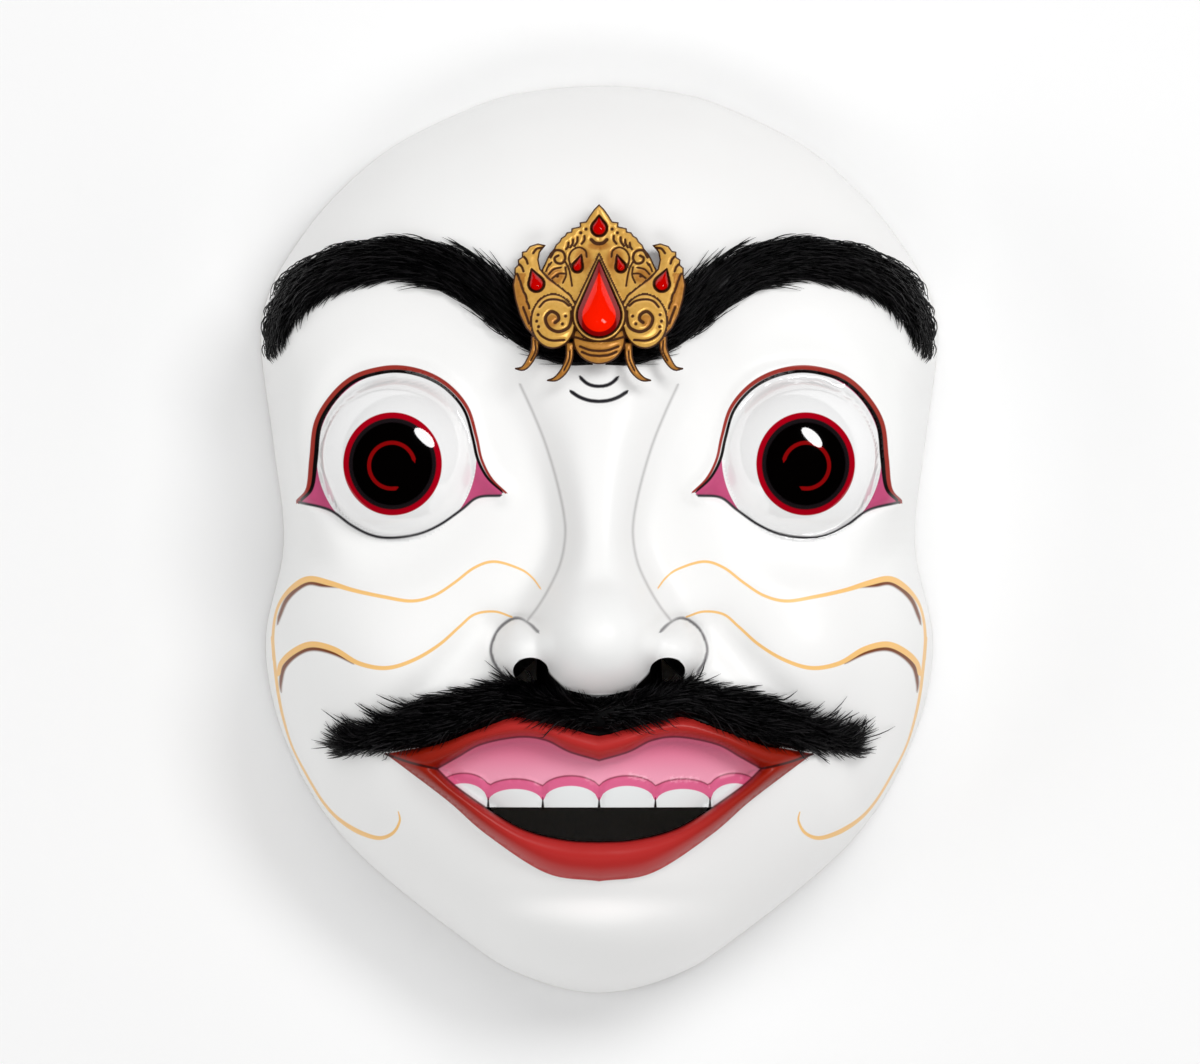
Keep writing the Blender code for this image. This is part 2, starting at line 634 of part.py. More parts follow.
def fitted_seat():
    """The gentle curve nearest to the forehead and the brow strips, lifted clear of both."""
    side, foot, top = max(WING)[0], INNER_FOOT[-1][1], ARCH[0][1]
    x, y = np.meshgrid(np.linspace(0, side, 40), np.linspace(foot, top, 80))
    x, y = x.ravel(), y.ravel()
    to_brow, share = nearest_on(x, y, BROW_LINE)
    half_width = np.interp(share, np.linspace(0, 1, len(BROW_LINE)), BROW_LINE[:, 2])
    brow = (BROW_THICKNESS + 1.5 * GLUE_LINE) * (1 - ease(1.0, 1.5, to_brow / half_width))
    under = carved(x, y) * STEP_Z + brow
    terms = seat_terms(x, y)
    factors = np.linalg.lstsq(terms, under, rcond=None)[0]
    covered = (x < ARCH[-4][0]) | (y < WING[0][1])
    factors[0] += np.max((under - terms @ factors)[covered]) + BODY_GAP
    return factors


def seat_height(x, y):
    """World height of the ornament's back at a place on the grid."""
    return seat_terms(x, y) @ SEAT_FACTORS


SEAT_FACTORS = fitted_seat()


def drape(obj):
    """Lifts a flat shape onto the forehead, following its curve."""
    mesh = obj.data
    places = np.array([v.co for v in mesh.vertices])
    places[:, 2] += seat_height(places[:, 0] / STEP_X, places[:, 1] / STEP_Y)
    for v, place in zip(mesh.vertices, places):
        v.co = place


def cut_across(obj):
    """Cuts a flat shape by a grid of planes, so that it can bend."""
    bm = bmesh.new()
    bm.from_mesh(obj.data)
    bmesh.ops.dissolve_limit(bm, angle_limit=0.01, verts=bm.verts, edges=bm.edges)
    for axis in (0, 1):
        spots = [v.co[axis] for v in bm.verts]
        first = math.ceil(min(spots) / BEND_STEP)
        for k in range(first, math.floor(max(spots) / BEND_STEP) + 1):
            normal = [0, 0, 0]
            normal[axis] = 1
            place = [(k + 0.37) * BEND_STEP * c for c in normal]
            geometry = bm.verts[:] + bm.edges[:] + bm.faces[:]
            bmesh.ops.bisect_plane(bm, geom=geometry, dist=2e-5, plane_co=place, plane_no=normal)
    bmesh.ops.triangulate(bm, faces=bm.faces)
    bm.to_mesh(obj.data)
    bm.free()


def brow_ornament(finish):
    """One gilt casting: arch, wings, scrolls, bezel, base and four curled feet, with seats for the stones."""
    outlines = [
        (np.array(WING), WING_THICKNESS),
        (tapered(OUTER_FOOT), FOOT_THICKNESS),
        (tapered(INNER_FOOT), FOOT_THICKNESS),
        (ellipse(SCROLL_AT, SCROLL_REACH), SCROLL_THICKNESS),
        (ellipse(SCROLL_EYE_AT, SCROLL_EYE_REACH, 12), SCROLL_THICKNESS + SCROLL_EYE_RISE),
    ]
    layers = [(ring * [side, 1], thickness) for ring, thickness in outlines for side in (-1, 1)]
    layers.append((ellipse(BASE_AT, BASE_REACH), BASE_THICKNESS))
    layers.append((drop_ring(CENTRE_STONE, BEZEL_BORDER), BEZEL_THICKNESS))
    plate = flat_shape("arch", mirrored(scalloped(ARCH)), 0, PLATE_THICKNESS)
    for order, (ring, thickness) in enumerate(layers, start=1):
        combine(plate, flat_shape("layer", ring, order * LAYER_STEP, thickness), "UNION")
    for _, stone, side, thickness in stones():
        ring = drop_ring(stone, STONE_CLEARANCE / STEP_X, side)
        seat = flat_shape("seat", ring, thickness - STONE_SEAT, 2 * BEZEL_THICKNESS)
        combine(plate, seat, "DIFFERENCE")
    made = settled(plate, "brow_ornament", finish, MASK)
    cut_across(made)
    drape(made)
    return made


def stones():
    """Each stone's name, outline and side, and the thickness of the metal that it is set in."""
    return [
        ("stone_centre", CENTRE_STONE, 1, BEZEL_THICKNESS),
        ("stone_top", TOP_STONE, 1, PLATE_THICKNESS),
        ("stone_arch_left", ARCH_STONE, -1, PLATE_THICKNESS),
        ("stone_arch_right", ARCH_STONE, 1, PLATE_THICKNESS),
        ("stone_wing_left", WING_STONE, -1, WING_THICKNESS),
        ("stone_wing_right", WING_STONE, 1, WING_THICKNESS),
    ]


def stone_solid(name, stone, side, metal, rise, segments, finish):
    """A drop-shaped cabochon in its seat."""
    middle_x, middle_y, half_width, reach, lean = stone
    bm = bmesh.new()
    bmesh.ops.create_uvsphere(bm, u_segments=segments, v_segments=segments // 2, radius=1)
    unit = np.array([v.co for v in bm.verts])
    angle = np.arctan2(-unit[:, 0], unit[:, 1])
    flat = np.hypot(unit[:, 0], unit[:, 1])
    radius = drop_radius(angle, half_width, reach) * flat
    turned = angle + math.radians(lean)
    x = side * (middle_x - radius * np.sin(turned))
    y = middle_y + radius * np.cos(turned)
    foot = metal - STONE_SEAT + STONE_CLEARANCE
    z = metal + np.clip(unit[:, 2], 0, 1) * rise
    z = np.where(unit[:, 2] < -1e-4, foot, z) + seat_height(x, y)
    for v, place in zip(bm.verts, np.stack([x * STEP_X, y * STEP_Y, z], axis=-1)):
        v.co = place
    if side < 0:
        bmesh.ops.reverse_faces(bm, faces=bm.faces)
    return object_from(bm, name, finish, MASK)


clear_scene()
MASK = new_collection("jauk_mask")
CUTTERS = new_collection("cutters")
CUTTERS.hide_render = True

white_paint = material("white_paint", (0.90, 0.89, 0.87), 0.35)
black_hair = material("black_hair", (0.012, 0.011, 0.011), 0.6)
gilding = material("gilding", (0.86, 0.55, 0.20), 0.35, metallic=1.0)
red_stone = material("red_stone", (0.75, 0.01, 0.01), 0.08)

shell = thinned(carved_block(), SHELL_TRIANGLES, "mask_shell", white_paint, MASK)
wood = tree_of(shell)
combine(shell, mouth_cutter(), "DIFFERENCE")
for side in (-1, 1):
    combine(shell, nostril_cutter(side), "DIFFERENCE")

brow = strip_pad("brow_right", BROW_LINE, (BROW_THICKNESS, BROW_EDGE), black_hair, BROW_MESH, (0, 1), wood)
mirror_object(brow, "brow_left")
moustache_sizes = (MOUSTACHE_THICKNESS, MOUSTACHE_EDGE)
strip_pad("moustache", MOUSTACHE_LINE, moustache_sizes, black_hair, MOUSTACHE_MESH, (-1, 1), wood)

brow_ornament(gilding)
for name, stone, side, metal in stones():
    large = stone is CENTRE_STONE
    rise = CENTRE_STONE_RISE if large else SMALL_STONE_RISE
    segments = CENTRE_STONE_SEGMENTS if large else SMALL_STONE_SEGMENTS
    stone_solid(name, stone, side, metal, rise, segments, red_stone)
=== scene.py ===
import math

import bmesh
import bpy
import numpy as np
from mathutils import Matrix, Vector


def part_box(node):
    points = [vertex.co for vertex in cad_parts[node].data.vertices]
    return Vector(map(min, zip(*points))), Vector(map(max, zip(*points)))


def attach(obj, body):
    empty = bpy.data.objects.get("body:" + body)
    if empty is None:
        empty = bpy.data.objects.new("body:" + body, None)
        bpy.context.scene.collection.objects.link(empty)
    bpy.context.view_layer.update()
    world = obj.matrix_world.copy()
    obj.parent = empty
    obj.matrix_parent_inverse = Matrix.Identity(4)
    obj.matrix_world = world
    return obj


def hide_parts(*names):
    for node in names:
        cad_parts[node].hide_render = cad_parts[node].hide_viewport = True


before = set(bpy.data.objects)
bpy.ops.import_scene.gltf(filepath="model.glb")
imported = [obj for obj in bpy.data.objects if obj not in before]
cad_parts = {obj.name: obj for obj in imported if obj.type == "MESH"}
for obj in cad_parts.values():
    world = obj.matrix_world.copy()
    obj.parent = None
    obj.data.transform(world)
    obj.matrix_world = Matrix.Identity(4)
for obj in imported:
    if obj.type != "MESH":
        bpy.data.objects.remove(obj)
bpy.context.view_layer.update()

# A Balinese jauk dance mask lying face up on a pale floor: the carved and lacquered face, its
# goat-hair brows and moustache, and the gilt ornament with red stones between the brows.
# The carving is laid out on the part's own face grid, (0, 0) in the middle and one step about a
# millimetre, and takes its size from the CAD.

_, SHELL_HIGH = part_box("mask_shell")

# The part's walls, gaps and thicknesses, in metres
RIM_WALL = 0.008
FACE_WALL = 0.010
BODY_GAP = 0.0004
GLUE_LINE = 0.0006
BROW_THICKNESS = 0.0022
PLATE_THICKNESS = 0.0018
FOOT_THICKNESS = 0.0016
WING_THICKNESS = 0.0026
SCROLL_THICKNESS = 0.0038
BASE_THICKNESS = 0.0032
BEZEL_THICKNESS = 0.0044
STONE_SEAT = 0.0010
STONE_CLEARANCE = 0.0003
CENTRE_STONE_RISE = 0.0026
SMALL_STONE_RISE = 0.0009

# Right half of the mask's outline, crown to chin, as (across, up)
OUTLINE = [(0, 100), (17.8, 98.3), (29.5, 94.6), (45.8, 86.4), (58.5, 75.5), (67.3, 64.5), (73.2, 53.6),
           (74.7, 42.6), (71.9, 20.7), (69.7, -1.2), (73.7, -23.1), (69.0, -45.0), (55.4, -66.9),
           (29.0, -88.8), (15.3, -96.7), (0, -100)]
# The waist beside the nose fades inwards: how deep it is, and how far it reaches as an angle
WAIST_DEPTH = 3.6
WAIST_ANGLE = 0.30
WAIST_FADE = 4
# The dome: a superellipse from the rim up, boxier than a ball
DOME_RISE = 58.0
DOME_ACROSS_POWER = 3.6
DOME_UP_POWER = 2.8
# Soft hills and hollows of the face, as (rise, across, up, reach across, reach up)
CHEEK = (5.0, 49, -25, 17, 13)
MUZZLE = (6.0, 0, -50, 40, 24)
CHIN = (5.5, 0, -86, 21, 10)
BETWEEN_BROWS = (2.0, 0, 40, 9, 8)
UNDER_LIP = (-2.2, 0, -79, 20, 3.5)
BESIDE_BRIDGE = (-2.0, 24, 26, 6, 14)
SOFT_FORMS = [CHEEK, MUZZLE, CHIN, BETWEEN_BROWS, UNDER_LIP, BESIDE_BRIDGE]
BROW_RIDGE_RISE = 3.2
BROW_RIDGE_WIDTH = 8.5
CHEEK_FOLD = [(25, -19), (37, -32), (53, -45), (57, -58)]
CHEEK_FOLD_DEPTH = 2.6
CHEEK_FOLD_WIDTH = 4.2
# The powers by which sockets, forms and hollow fade out towards the outline
SOCKET_FADE = 20
FORMS_FADE = 12
HOLLOW_FADE = 8
# Room inside for the nose, the mouth and the eyes
HOLLOW_FORMS = [(13, 0, -19, 13, 15), (3.5, 0, -52, 34, 22), (2.5, 44, 18, 15, 15)]

# Eyes: round balls in sockets that lean outwards
EYE_AT = (44.3, 18.0)
EYE_LEVEL = 52.0
EYE_LEAN = -0.27
BALL_EDGE_RADIUS = 17.6
BALL_RISE = 12.2
SOCKET_REACH = (19.5, 30.0)
SOCKET_CALM = 0.7
LID_RISE = 2.0
LID_WIDTH = 2.0
# Upper lid from the outer corner over the ball to the inner corner, measured from the eye's centre
UPPER_LID = [(20.6, -10.0), (18.3, -4.9), (17.5, 1.6), (15.7, 8.2), (11.3, 14.3), (5.8, 18.5), (0, 19.3),
             (-7.3, 18.3), (-12.8, 14.3), (-15.7, 8.2), (-17.4, 1.6), (-19.8, -3.8), (-23.3, -7.9)]

# Nose: (up, half width, rise) down the bridge, then the ball as (up, reach across, reach up, rise)
BRIDGE = [(44, 20, 0), (34, 17.0, 5.0), (22, 11.5, 9.5), (4, 7.6, 14.5), (-5, 8.6, 18), (-13, 12.0, 22),
          (-22, 13.0, 25), (-29, 11, 18), (-34, 10, 0)]
BRIDGE_POWER = 3.2
NOSE_BALL = (-20.5, 14.2, 13.2, 28.0)
NOSE_WING_AT = (16.0, -23.8)
NOSE_WING_REACH = (6.9, 6.5)
NOSE_WING_RISE = 15.5
# How sharply the bridge meets the ball, and the ball its wings: a higher power is sharper
BALL_BLEND = 6
WING_BLEND = 2.5
NOSTRIL_AT = (14.9, -28.6)
NOSTRIL_REACH = (3.9, 3.0)

# Mouth: right half of the lips' outer edge and of the opening between them
LIP_TOP = [(0, -42.4), (8.0, -40.4), (18.5, -38.5), (27.0, -41.2), (37.0, -44.8), (46.8, -46.8)]
LIP_BOTTOM = [(46.8, -46.8), (41.9, -50.4), (32.8, -57.3), (24.5, -64.5), (11.6, -72.8), (0, -74.6)]
MOUTH_TOP = [(0, -48.1), (6.5, -46.2), (11.6, -43.7), (17.5, -43.0), (25.7, -44.6), (30.9, -47.4),
             (35.5, -50.0)]
MOUTH_BOTTOM = [(35.5, -50.0), (30.9, -54.2), (20.6, -61.2), (14.2, -64.1), (6.5, -65.7), (0, -66.0)]
LIP_ROLL = 4.2
LIP_FULLNESS = 0.7
MOUTH_DEPTH = 3.6
MOUTH_EDGE = 1.2
TEETH_BOTTOM = -58.4
# Each right-hand tooth as (centre, half width, top of its crown)
TEETH = [(6.15, 6.1, -53.7), (18.3, 5.9, -54.4), (29.6, 5.3, -53.2)]
TOOTH_RISE = 1.2
TOOTH_ROUNDNESS = 0.3
GUM_SCALLOP = 2.2
GUM_RISE_SHARE = 0.9
CROWN_DIP = 1.2

# Brow strip and moustache strip: (across, up, half width) from the middle of the face outwards
BROW = [(1.2, 41.0, 3.4), (8.0, 41.6, 4.0), (14.0, 45.2, 4.9), (18.6, 48.9, 5.3), (26.7, 55.6, 5.2),
        (33.0, 58.7, 4.8), (42.0, 60.8, 4.9), (52.0, 60.2, 4.9), (61.0, 57.3, 5.0), (67.5, 52.8, 5.2),
        (71.3, 48.6, 5.2), (73.2, 44.2, 4.2), (74.0, 40.4, 1.8)]
MOUSTACHE = [(0, -38.7, 4.0), (8.0, -36.6, 4.0), (13.5, -35.6, 3.9), (19.0, -34.9, 3.9),
             (27.2, -37.0, 4.5), (37.0, -40.0, 5.1), (46.5, -42.4, 4.5), (52.5, -43.4, 3.4),
             (58.5, -43.9, 1.4)]

# Brow ornament on the same grid, right half of each outline, with the leaf tips along its edge
ARCH = [(0, 73.2), (1.1, 72.1), (2.1, 70.7), (2.9, 69.4), (4.3, 69.2), (4.2, 68.3), (5.2, 68.1),
        (6.1, 67.9), (6.1, 67.2), (7.1, 67.0), (7.5, 66.3), (8.3, 65.8), (8.7, 65.0), (9.5, 64.3),
        (9.9, 63.4), (10.7, 62.5), (11.4, 61.3), (11.9, 60.1), (12.5, 58.9), (12.6, 55.0), (10.5, 46.0),
        (5.0, 43.2), (0, 40.8)]
WING = [(11.6, 64.2), (13.4, 64.6), (15.2, 64.0), (16.0, 62.9), (16.9, 62.8), (16.9, 61.6), (17.8, 61.0),
        (17.7, 59.9), (18.5, 59.2), (18.5, 57.6), (18.9, 55.4), (18.4, 52.3), (17.4, 48.9), (16.0, 46.0),
        (13.6, 43.4), (9.0, 43.0), (5.2, 46.0), (4.9, 51.0), (6.2, 53.2), (8.4, 55.0), (11.2, 57.1),
        (12.8, 59.0), (13.2, 61.0), (12.9, 62.6)]
SCROLL_AT = (10.0, 47.5)
SCROLL_REACH = (4.9, 6.0)
BASE_AT = (0, 43.6)
BASE_REACH = (5.7, 5.5)
OUTER_FOOT = [(13.9, 44.4, 0.95), (14.0, 41.6, 0.9), (15.0, 39.1, 0.85), (16.5, 37.3, 0.6),
              (18.4, 37.2, 0.15)]
INNER_FOOT = [(6.4, 43.0, 0.95), (6.5, 39.6, 0.9), (7.6, 36.8, 0.85), (9.4, 35.0, 0.6),
              (11.4, 34.6, 0.15)]
# Drop-shaped stones: (centre across, centre up, half width, reach to the point, lean in degrees)
CENTRE_STONE = (0, 48.8, 4.6, 11.8, 0)
TOP_STONE = (0, 67.9, 1.5, 2.5, 0)
ARCH_STONE = (4.75, 59.4, 0.95, 2.5, 18)
WING_STONE = (13.7, 55.7, 1.5, 3.1, -18)


def smooth_line(points, per_span=8, closed=False):
    """Places along a Catmull-Rom curve through the points."""
    p = np.array(points, float)
    if closed:
        p = np.vstack([p[-1], p, p[:2]])
    else:
        p = np.vstack([2 * p[0] - p[1], p, 2 * p[-1] - p[-2]])
    t = np.linspace(0, 1, per_span, endpoint=False)[:, None]
    spans = [
        0.5 * (2 * b + (c - a) * t + (2 * a - 5 * b + 4 * c - d) * t**2 + (3 * b - a - 3 * c + d) * t**3)
        for a, b, c, d in zip(p, p[1:], p[2:], p[3:])
    ]
    return np.vstack(spans if closed else spans + [p[-2:-1]])


def mirrored(half):
    """The closed outline made of a right half, given top to bottom, and its mirror image."""
    half = np.array(half, float)
    inner = half[np.abs(half[:, 0]) > 1e-6][::-1]
    return np.vstack([half, inner * [-1, 1]])


def ease(low, high, value):
    t = np.clip((value - low) / (high - low), 0, 1)
    return t * t * (3 - 2 * t)


def bell(distance, width):
    """1 at no distance, falling softly to nothing past the width."""
    return np.exp(-((distance / width) ** 2))


def hill(x, y, rise, centre_x, centre_y, reach_x, reach_y):
    return rise * np.exp(-(((x - centre_x) / reach_x) ** 2) - ((y - centre_y) / reach_y) ** 2)


def cap(x, y, centre_x, centre_y, reach_x, reach_y, rise):
    """The upper half of an ellipsoid, and 0 outside it."""
    inside = 1 - ((x - centre_x) / reach_x) ** 2 - ((y - centre_y) / reach_y) ** 2
    return rise * np.sqrt(np.clip(inside, 0, None))


def lengths_before(line):
    """How much of a line lies before each of its points."""
    return np.concatenate([[0], np.cumsum(np.hypot(*np.diff(line[:, :2], axis=0).T))])


def at_shares(line, share, *columns):
    """What the columns, with a value for each point of a line, are at shares of its length."""
    length = lengths_before(line)
    return [np.interp(share, length / length[-1], column) for column in columns]


def unit_run(line):
    """The direction that a line runs in at each of its points."""
    run = np.gradient(line[:, :2], axis=0)
    return run / np.hypot(run[:, 0], run[:, 1])[:, None]


def closed_line(ring):
    return np.vstack([ring, ring[:1]])


def nearest_on(x, y, line):
    """Distance to a line, and the share of its length at the nearest place."""
    line = np.asarray(line)[:, :2]
    start, run = line[:-1], np.diff(line, axis=0)
    before = lengths_before(line)
    best = np.full(np.shape(x), np.inf)
    share = np.zeros(np.shape(x))
    for (start_x, start_y), (run_x, run_y), passed in zip(start, run, before):
        length = np.hypot(run_x, run_y)
        dx, dy = x - start_x, y - start_y
        t = np.clip((dx * run_x + dy * run_y) / length**2, 0, 1)
        d = np.hypot(dx - t * run_x, dy - t * run_y)
        share = np.where(d < best, (passed + t * length) / before[-1], share)
        best = np.minimum(best, d)
    return best, share


def inside_distance(x, y, ring):
    """Distance to a closed outline, positive inside it."""
    d, _ = nearest_on(x, y, closed_line(ring))
    inside = np.zeros(np.shape(x), bool)
    for (ax, ay), (bx, by) in zip(ring, np.roll(ring, -1, axis=0)):
        crosses = (ay > y) != (by > y)
        inside ^= crosses & (x < ax + (y - ay) * (bx - ax) / (by - ay if by != ay else 1))
    return np.where(inside, d, -d)


OUTLINE_RING = smooth_line(mirrored(OUTLINE), closed=True)
STEP_X = SHELL_HIGH.x / OUTLINE_RING[:, 0].max()
STEP_Y = SHELL_HIGH.y / OUTLINE_RING[:, 1].max()
OUTLINE_HALF = OUTLINE_RING[OUTLINE_RING[:, 0] >= 0]
OUTLINE_ANGLES = np.arctan2(OUTLINE_HALF[:, 1], OUTLINE_HALF[:, 0])
OUTLINE_ORDER = np.argsort(OUTLINE_ANGLES)
LIP_RING = mirrored(np.vstack([smooth_line(LIP_TOP), smooth_line(LIP_BOTTOM)[1:]]))
MOUTH_RING = mirrored(np.vstack([smooth_line(MOUTH_TOP), smooth_line(MOUTH_BOTTOM)[1:]]))
BROW_LINE = smooth_line(BROW)
MOUSTACHE_LINE = smooth_line(MOUSTACHE)
BRIDGE_LINE = smooth_line(BRIDGE)[::-1]
LID_LINE = smooth_line(UPPER_LID) + EYE_AT


def outline_radius(x, y):
    """How far the outline is from the middle, in the direction of (x, y)."""
    angle = np.arctan2(y, np.abs(x))
    radii = np.hypot(OUTLINE_HALF[:, 0], OUTLINE_HALF[:, 1])
    return np.interp(angle, OUTLINE_ANGLES[OUTLINE_ORDER], radii[OUTLINE_ORDER])


def outline_share(x, y):
    """0 in the middle and 1 on the outline, with the waist fading inwards."""
    edge = outline_radius(x, y)
    reach = np.hypot(x, y)
    angle = np.arctan2(y, np.abs(x))
    filled = WAIST_DEPTH * bell(angle, WAIST_ANGLE) * (1 - np.clip(reach / edge, 0, 1) ** WAIST_FADE)
    return reach / (edge + filled)


def dome(share, rise):
    """Height of the plain dome at a share of the way from the middle to the outline."""
    return rise * (1 - np.clip(share, 0, 1) ** DOME_ACROSS_POWER) ** (1 / DOME_UP_POWER)


def nose(across, y):
    half_width = np.interp(y, BRIDGE_LINE[:, 0], BRIDGE_LINE[:, 1])
    rise = np.interp(y, BRIDGE_LINE[:, 0], BRIDGE_LINE[:, 2], left=0, right=0)
    bridge = np.clip(rise, 0, None) * np.exp(-((across / half_width) ** BRIDGE_POWER))
    ball = cap(across, y, 0, *NOSE_BALL)
    wing = cap(across, y, *NOSE_WING_AT, *NOSE_WING_REACH, NOSE_WING_RISE)
    middle = (bridge**BALL_BLEND + ball**BALL_BLEND) ** (1 / BALL_BLEND)
    return (middle**WING_BLEND + wing**WING_BLEND) ** (1 / WING_BLEND)


def soft_forms(across, y):
    """Cheeks, muzzle, chin, brow ridge and the hollows between them."""
    to_brow, _ = nearest_on(across, y, BROW_LINE)
    to_fold, _ = nearest_on(across, y, CHEEK_FOLD)
    forms = sum(hill(across, y, *form) for form in SOFT_FORMS)
    forms += BROW_RIDGE_RISE * bell(to_brow, BROW_RIDGE_WIDTH)
    return forms - CHEEK_FOLD_DEPTH * bell(to_fold, CHEEK_FOLD_WIDTH)


def lid(across, y):
    d, _ = nearest_on(across, y, LID_LINE)
    return LID_RISE * bell(d, LID_WIDTH)


def eyeball(across, y):
    """Height of the eye's ball, and minus infinity outside it."""
    radius = (BALL_EDGE_RADIUS**2 + BALL_RISE**2) / (2 * BALL_RISE)
    lean = math.hypot(1, EYE_LEAN)
    sunk = radius - BALL_RISE
    middle_x = EYE_AT[0] + EYE_LEAN / lean * sunk
    middle_z = EYE_LEVEL - sunk / lean
    left = radius**2 - (across - middle_x) ** 2 - (y - EYE_AT[1]) ** 2
    return np.where(left > 0, middle_z + np.sqrt(np.clip(left, 0, None)), -np.inf)


def crown_over(across, tooth, extra=0.0):
    """How near each place is to a tooth's middle, from 0 to 1, and the top of its crown there."""
    centre, half_width, top = tooth
    t = np.clip(1 - ((across - centre) / (half_width + extra / 4)) ** 2, 0, 1)
    low = TEETH_BOTTOM + CROWN_DIP
    return t, low + (top - low) * np.sqrt(t)


def teeth(across, y):
    """Rise of the crowns and of the scalloped gum above them."""
    rise = np.zeros(np.shape(across))
    for tooth in TEETH:
        t, top = crown_over(across, tooth)
        in_tooth = np.abs(across - tooth[0]) < tooth[1]
        rise = np.where(in_tooth & (y < top), TOOTH_RISE * t**TOOTH_ROUNDNESS, rise)
        rise = np.where(in_tooth & (y >= top) & (y < top + GUM_SCALLOP), TOOTH_RISE * GUM_RISE_SHARE, rise)
    return rise


def carved(x, y):
    """Height of the carved face above the rim's plane, in grid steps."""
    across = np.abs(x)
    share = outline_share(x, y)
    height = dome(share, DOME_RISE)
    to_eye = np.hypot(across - EYE_AT[0], y - EYE_AT[1])
    socket = (1 - ease(*SOCKET_REACH, to_eye)) * (1 - np.clip(share, 0, 1) ** SOCKET_FADE)
    height += socket * (EYE_LEVEL + EYE_LEAN * (across - EYE_AT[0]) - height)
    forms = soft_forms(across, y) * (1 - SOCKET_CALM * socket) + nose(across, y) + lid(across, y)
    height += (1 - np.clip(share, 0, 1) ** FORMS_FADE) * forms
    lips = inside_distance(x, y, LIP_RING)
    mouth = inside_distance(x, y, MOUTH_RING)
    roll = np.clip(-mouth / np.maximum(lips - mouth, 1e-6), 0, 1)
    rolled = LIP_ROLL * np.sin(math.pi * roll) ** LIP_FULLNESS
    height += np.where((lips > 0) & (mouth <= 0), rolled, 0)
    height += ease(0, MOUTH_EDGE, mouth) * (teeth(across, y) - MOUTH_DEPTH)
    return np.maximum(height, eyeball(across, y))


def hollowed(x, y, share):
    """Height of the hollow's surface above the rim's plane, in grid steps."""
    height = dome(share, DOME_RISE - FACE_WALL / STEP_Y)
    return height + (1 - share**HOLLOW_FADE) * sum(hill(np.abs(x), y, *form) for form in HOLLOW_FORMS)


NOSE_TIP = float(carved(np.zeros(200), np.linspace(-30, -10, 200)).max())
STEP_Z = SHELL_HIGH.z / NOSE_TIP


def face_points(x, y):
    """World places of the carved surface at these grid places."""
    return np.stack([x * STEP_X, y * STEP_Y, carved(x, y) * STEP_Z], axis=-1)


def face_normals(x, y, reach=0.5):
    """World directions out of the carved surface."""
    run_x = face_points(x + reach, y) - face_points(x - reach, y)
    run_y = face_points(x, y + reach) - face_points(x, y - reach)
    out = np.cross(run_x, run_y)
    return out / np.linalg.norm(out, axis=-1, keepdims=True)


def ellipse(centre, reach, count=16):
    turn = np.linspace(0, 2 * math.pi, count, endpoint=False)
    return np.stack([centre[0] + reach[0] * np.cos(turn), centre[1] + reach[1] * np.sin(turn)], axis=-1)


def drop_radius(angle, half_width, reach):
    """Radius of a drop-shaped outline at an angle from straight up, where its point is."""
    turn = np.abs((angle + math.pi) % (2 * math.pi) - math.pi)
    slope = math.acos(half_width / reach)
    flank = half_width / np.cos(np.clip(slope - turn, 0, None))
    return np.where(turn < slope, flank, half_width)


def drop_ring(stone, border, side, count):
    """Outline of a drop-shaped stone, or of its bezel with a border, on the grid."""
    middle_x, middle_y, half_width, reach, lean = stone
    slope = math.acos((half_width + border) / (reach + border))
    angle = np.concatenate([[0], np.linspace(slope, 2 * math.pi - slope, count)])
    radius = drop_radius(angle, half_width + border, reach + border)
    turned = angle + math.radians(lean)
    x, y = middle_x - radius * np.sin(turned), middle_y + radius * np.cos(turned)
    return np.stack([side * x, y], axis=-1)


def tapered(line):
    """Outline of a limb that follows a line of (across, up, half width)."""
    run = unit_run(line)
    side = np.stack([-run[:, 1], run[:, 0]], axis=-1) * line[:, 2:3]
    return np.vstack([line[:, :2] + side, (line[:, :2] - side)[::-1]])


def seat_terms(x, y):
    """Terms of the ornament's back: a gentle curve up the forehead and one across it."""
    middle = (ARCH[0][1] + ARCH[-1][1]) / 2
    up = y / middle - 1
    across = (x / middle) ** 2
    return np.stack([up**0, up, up**2, up**3, across, across * up, across**2], axis=-1)


def fitted_seat():
    """The gentle curve nearest to the forehead and the brow strips, lifted clear of both."""
    side, foot, top = max(WING)[0], INNER_FOOT[-1][1], ARCH[0][1]
    x, y = np.meshgrid(np.linspace(0, side, 40), np.linspace(foot, top, 80))
    x, y = x.ravel(), y.ravel()
    to_brow, share = nearest_on(x, y, BROW_LINE)
    half_width = np.interp(share, np.linspace(0, 1, len(BROW_LINE)), BROW_LINE[:, 2])
    brow = (BROW_THICKNESS + 1.5 * GLUE_LINE) * (1 - ease(1.0, 1.5, to_brow / half_width))
    under = carved(x, y) * STEP_Z + brow
    terms = seat_terms(x, y)
    factors = np.linalg.lstsq(terms, under, rcond=None)[0]
    covered = (x < ARCH[-4][0]) | (y < WING[0][1])
    factors[0] += np.max((under - terms @ factors)[covered]) + BODY_GAP
    return factors


def seat_height(x, y):
    """World height of the ornament's back at a place on the grid."""
    return seat_terms(x, y) @ SEAT_FACTORS


SEAT_FACTORS = fitted_seat()

# Each stone's name, outline and side, and the thickness of the metal that it is set in
STONES = [
    ("stone_centre", CENTRE_STONE, 1, BEZEL_THICKNESS),
    ("stone_top", TOP_STONE, 1, PLATE_THICKNESS),
    ("stone_arch_left", ARCH_STONE, -1, PLATE_THICKNESS),
    ("stone_arch_right", ARCH_STONE, 1, PLATE_THICKNESS),
    ("stone_wing_left", WING_STONE, -1, WING_THICKNESS),
    ("stone_wing_right", WING_STONE, 1, WING_THICKNESS),
]

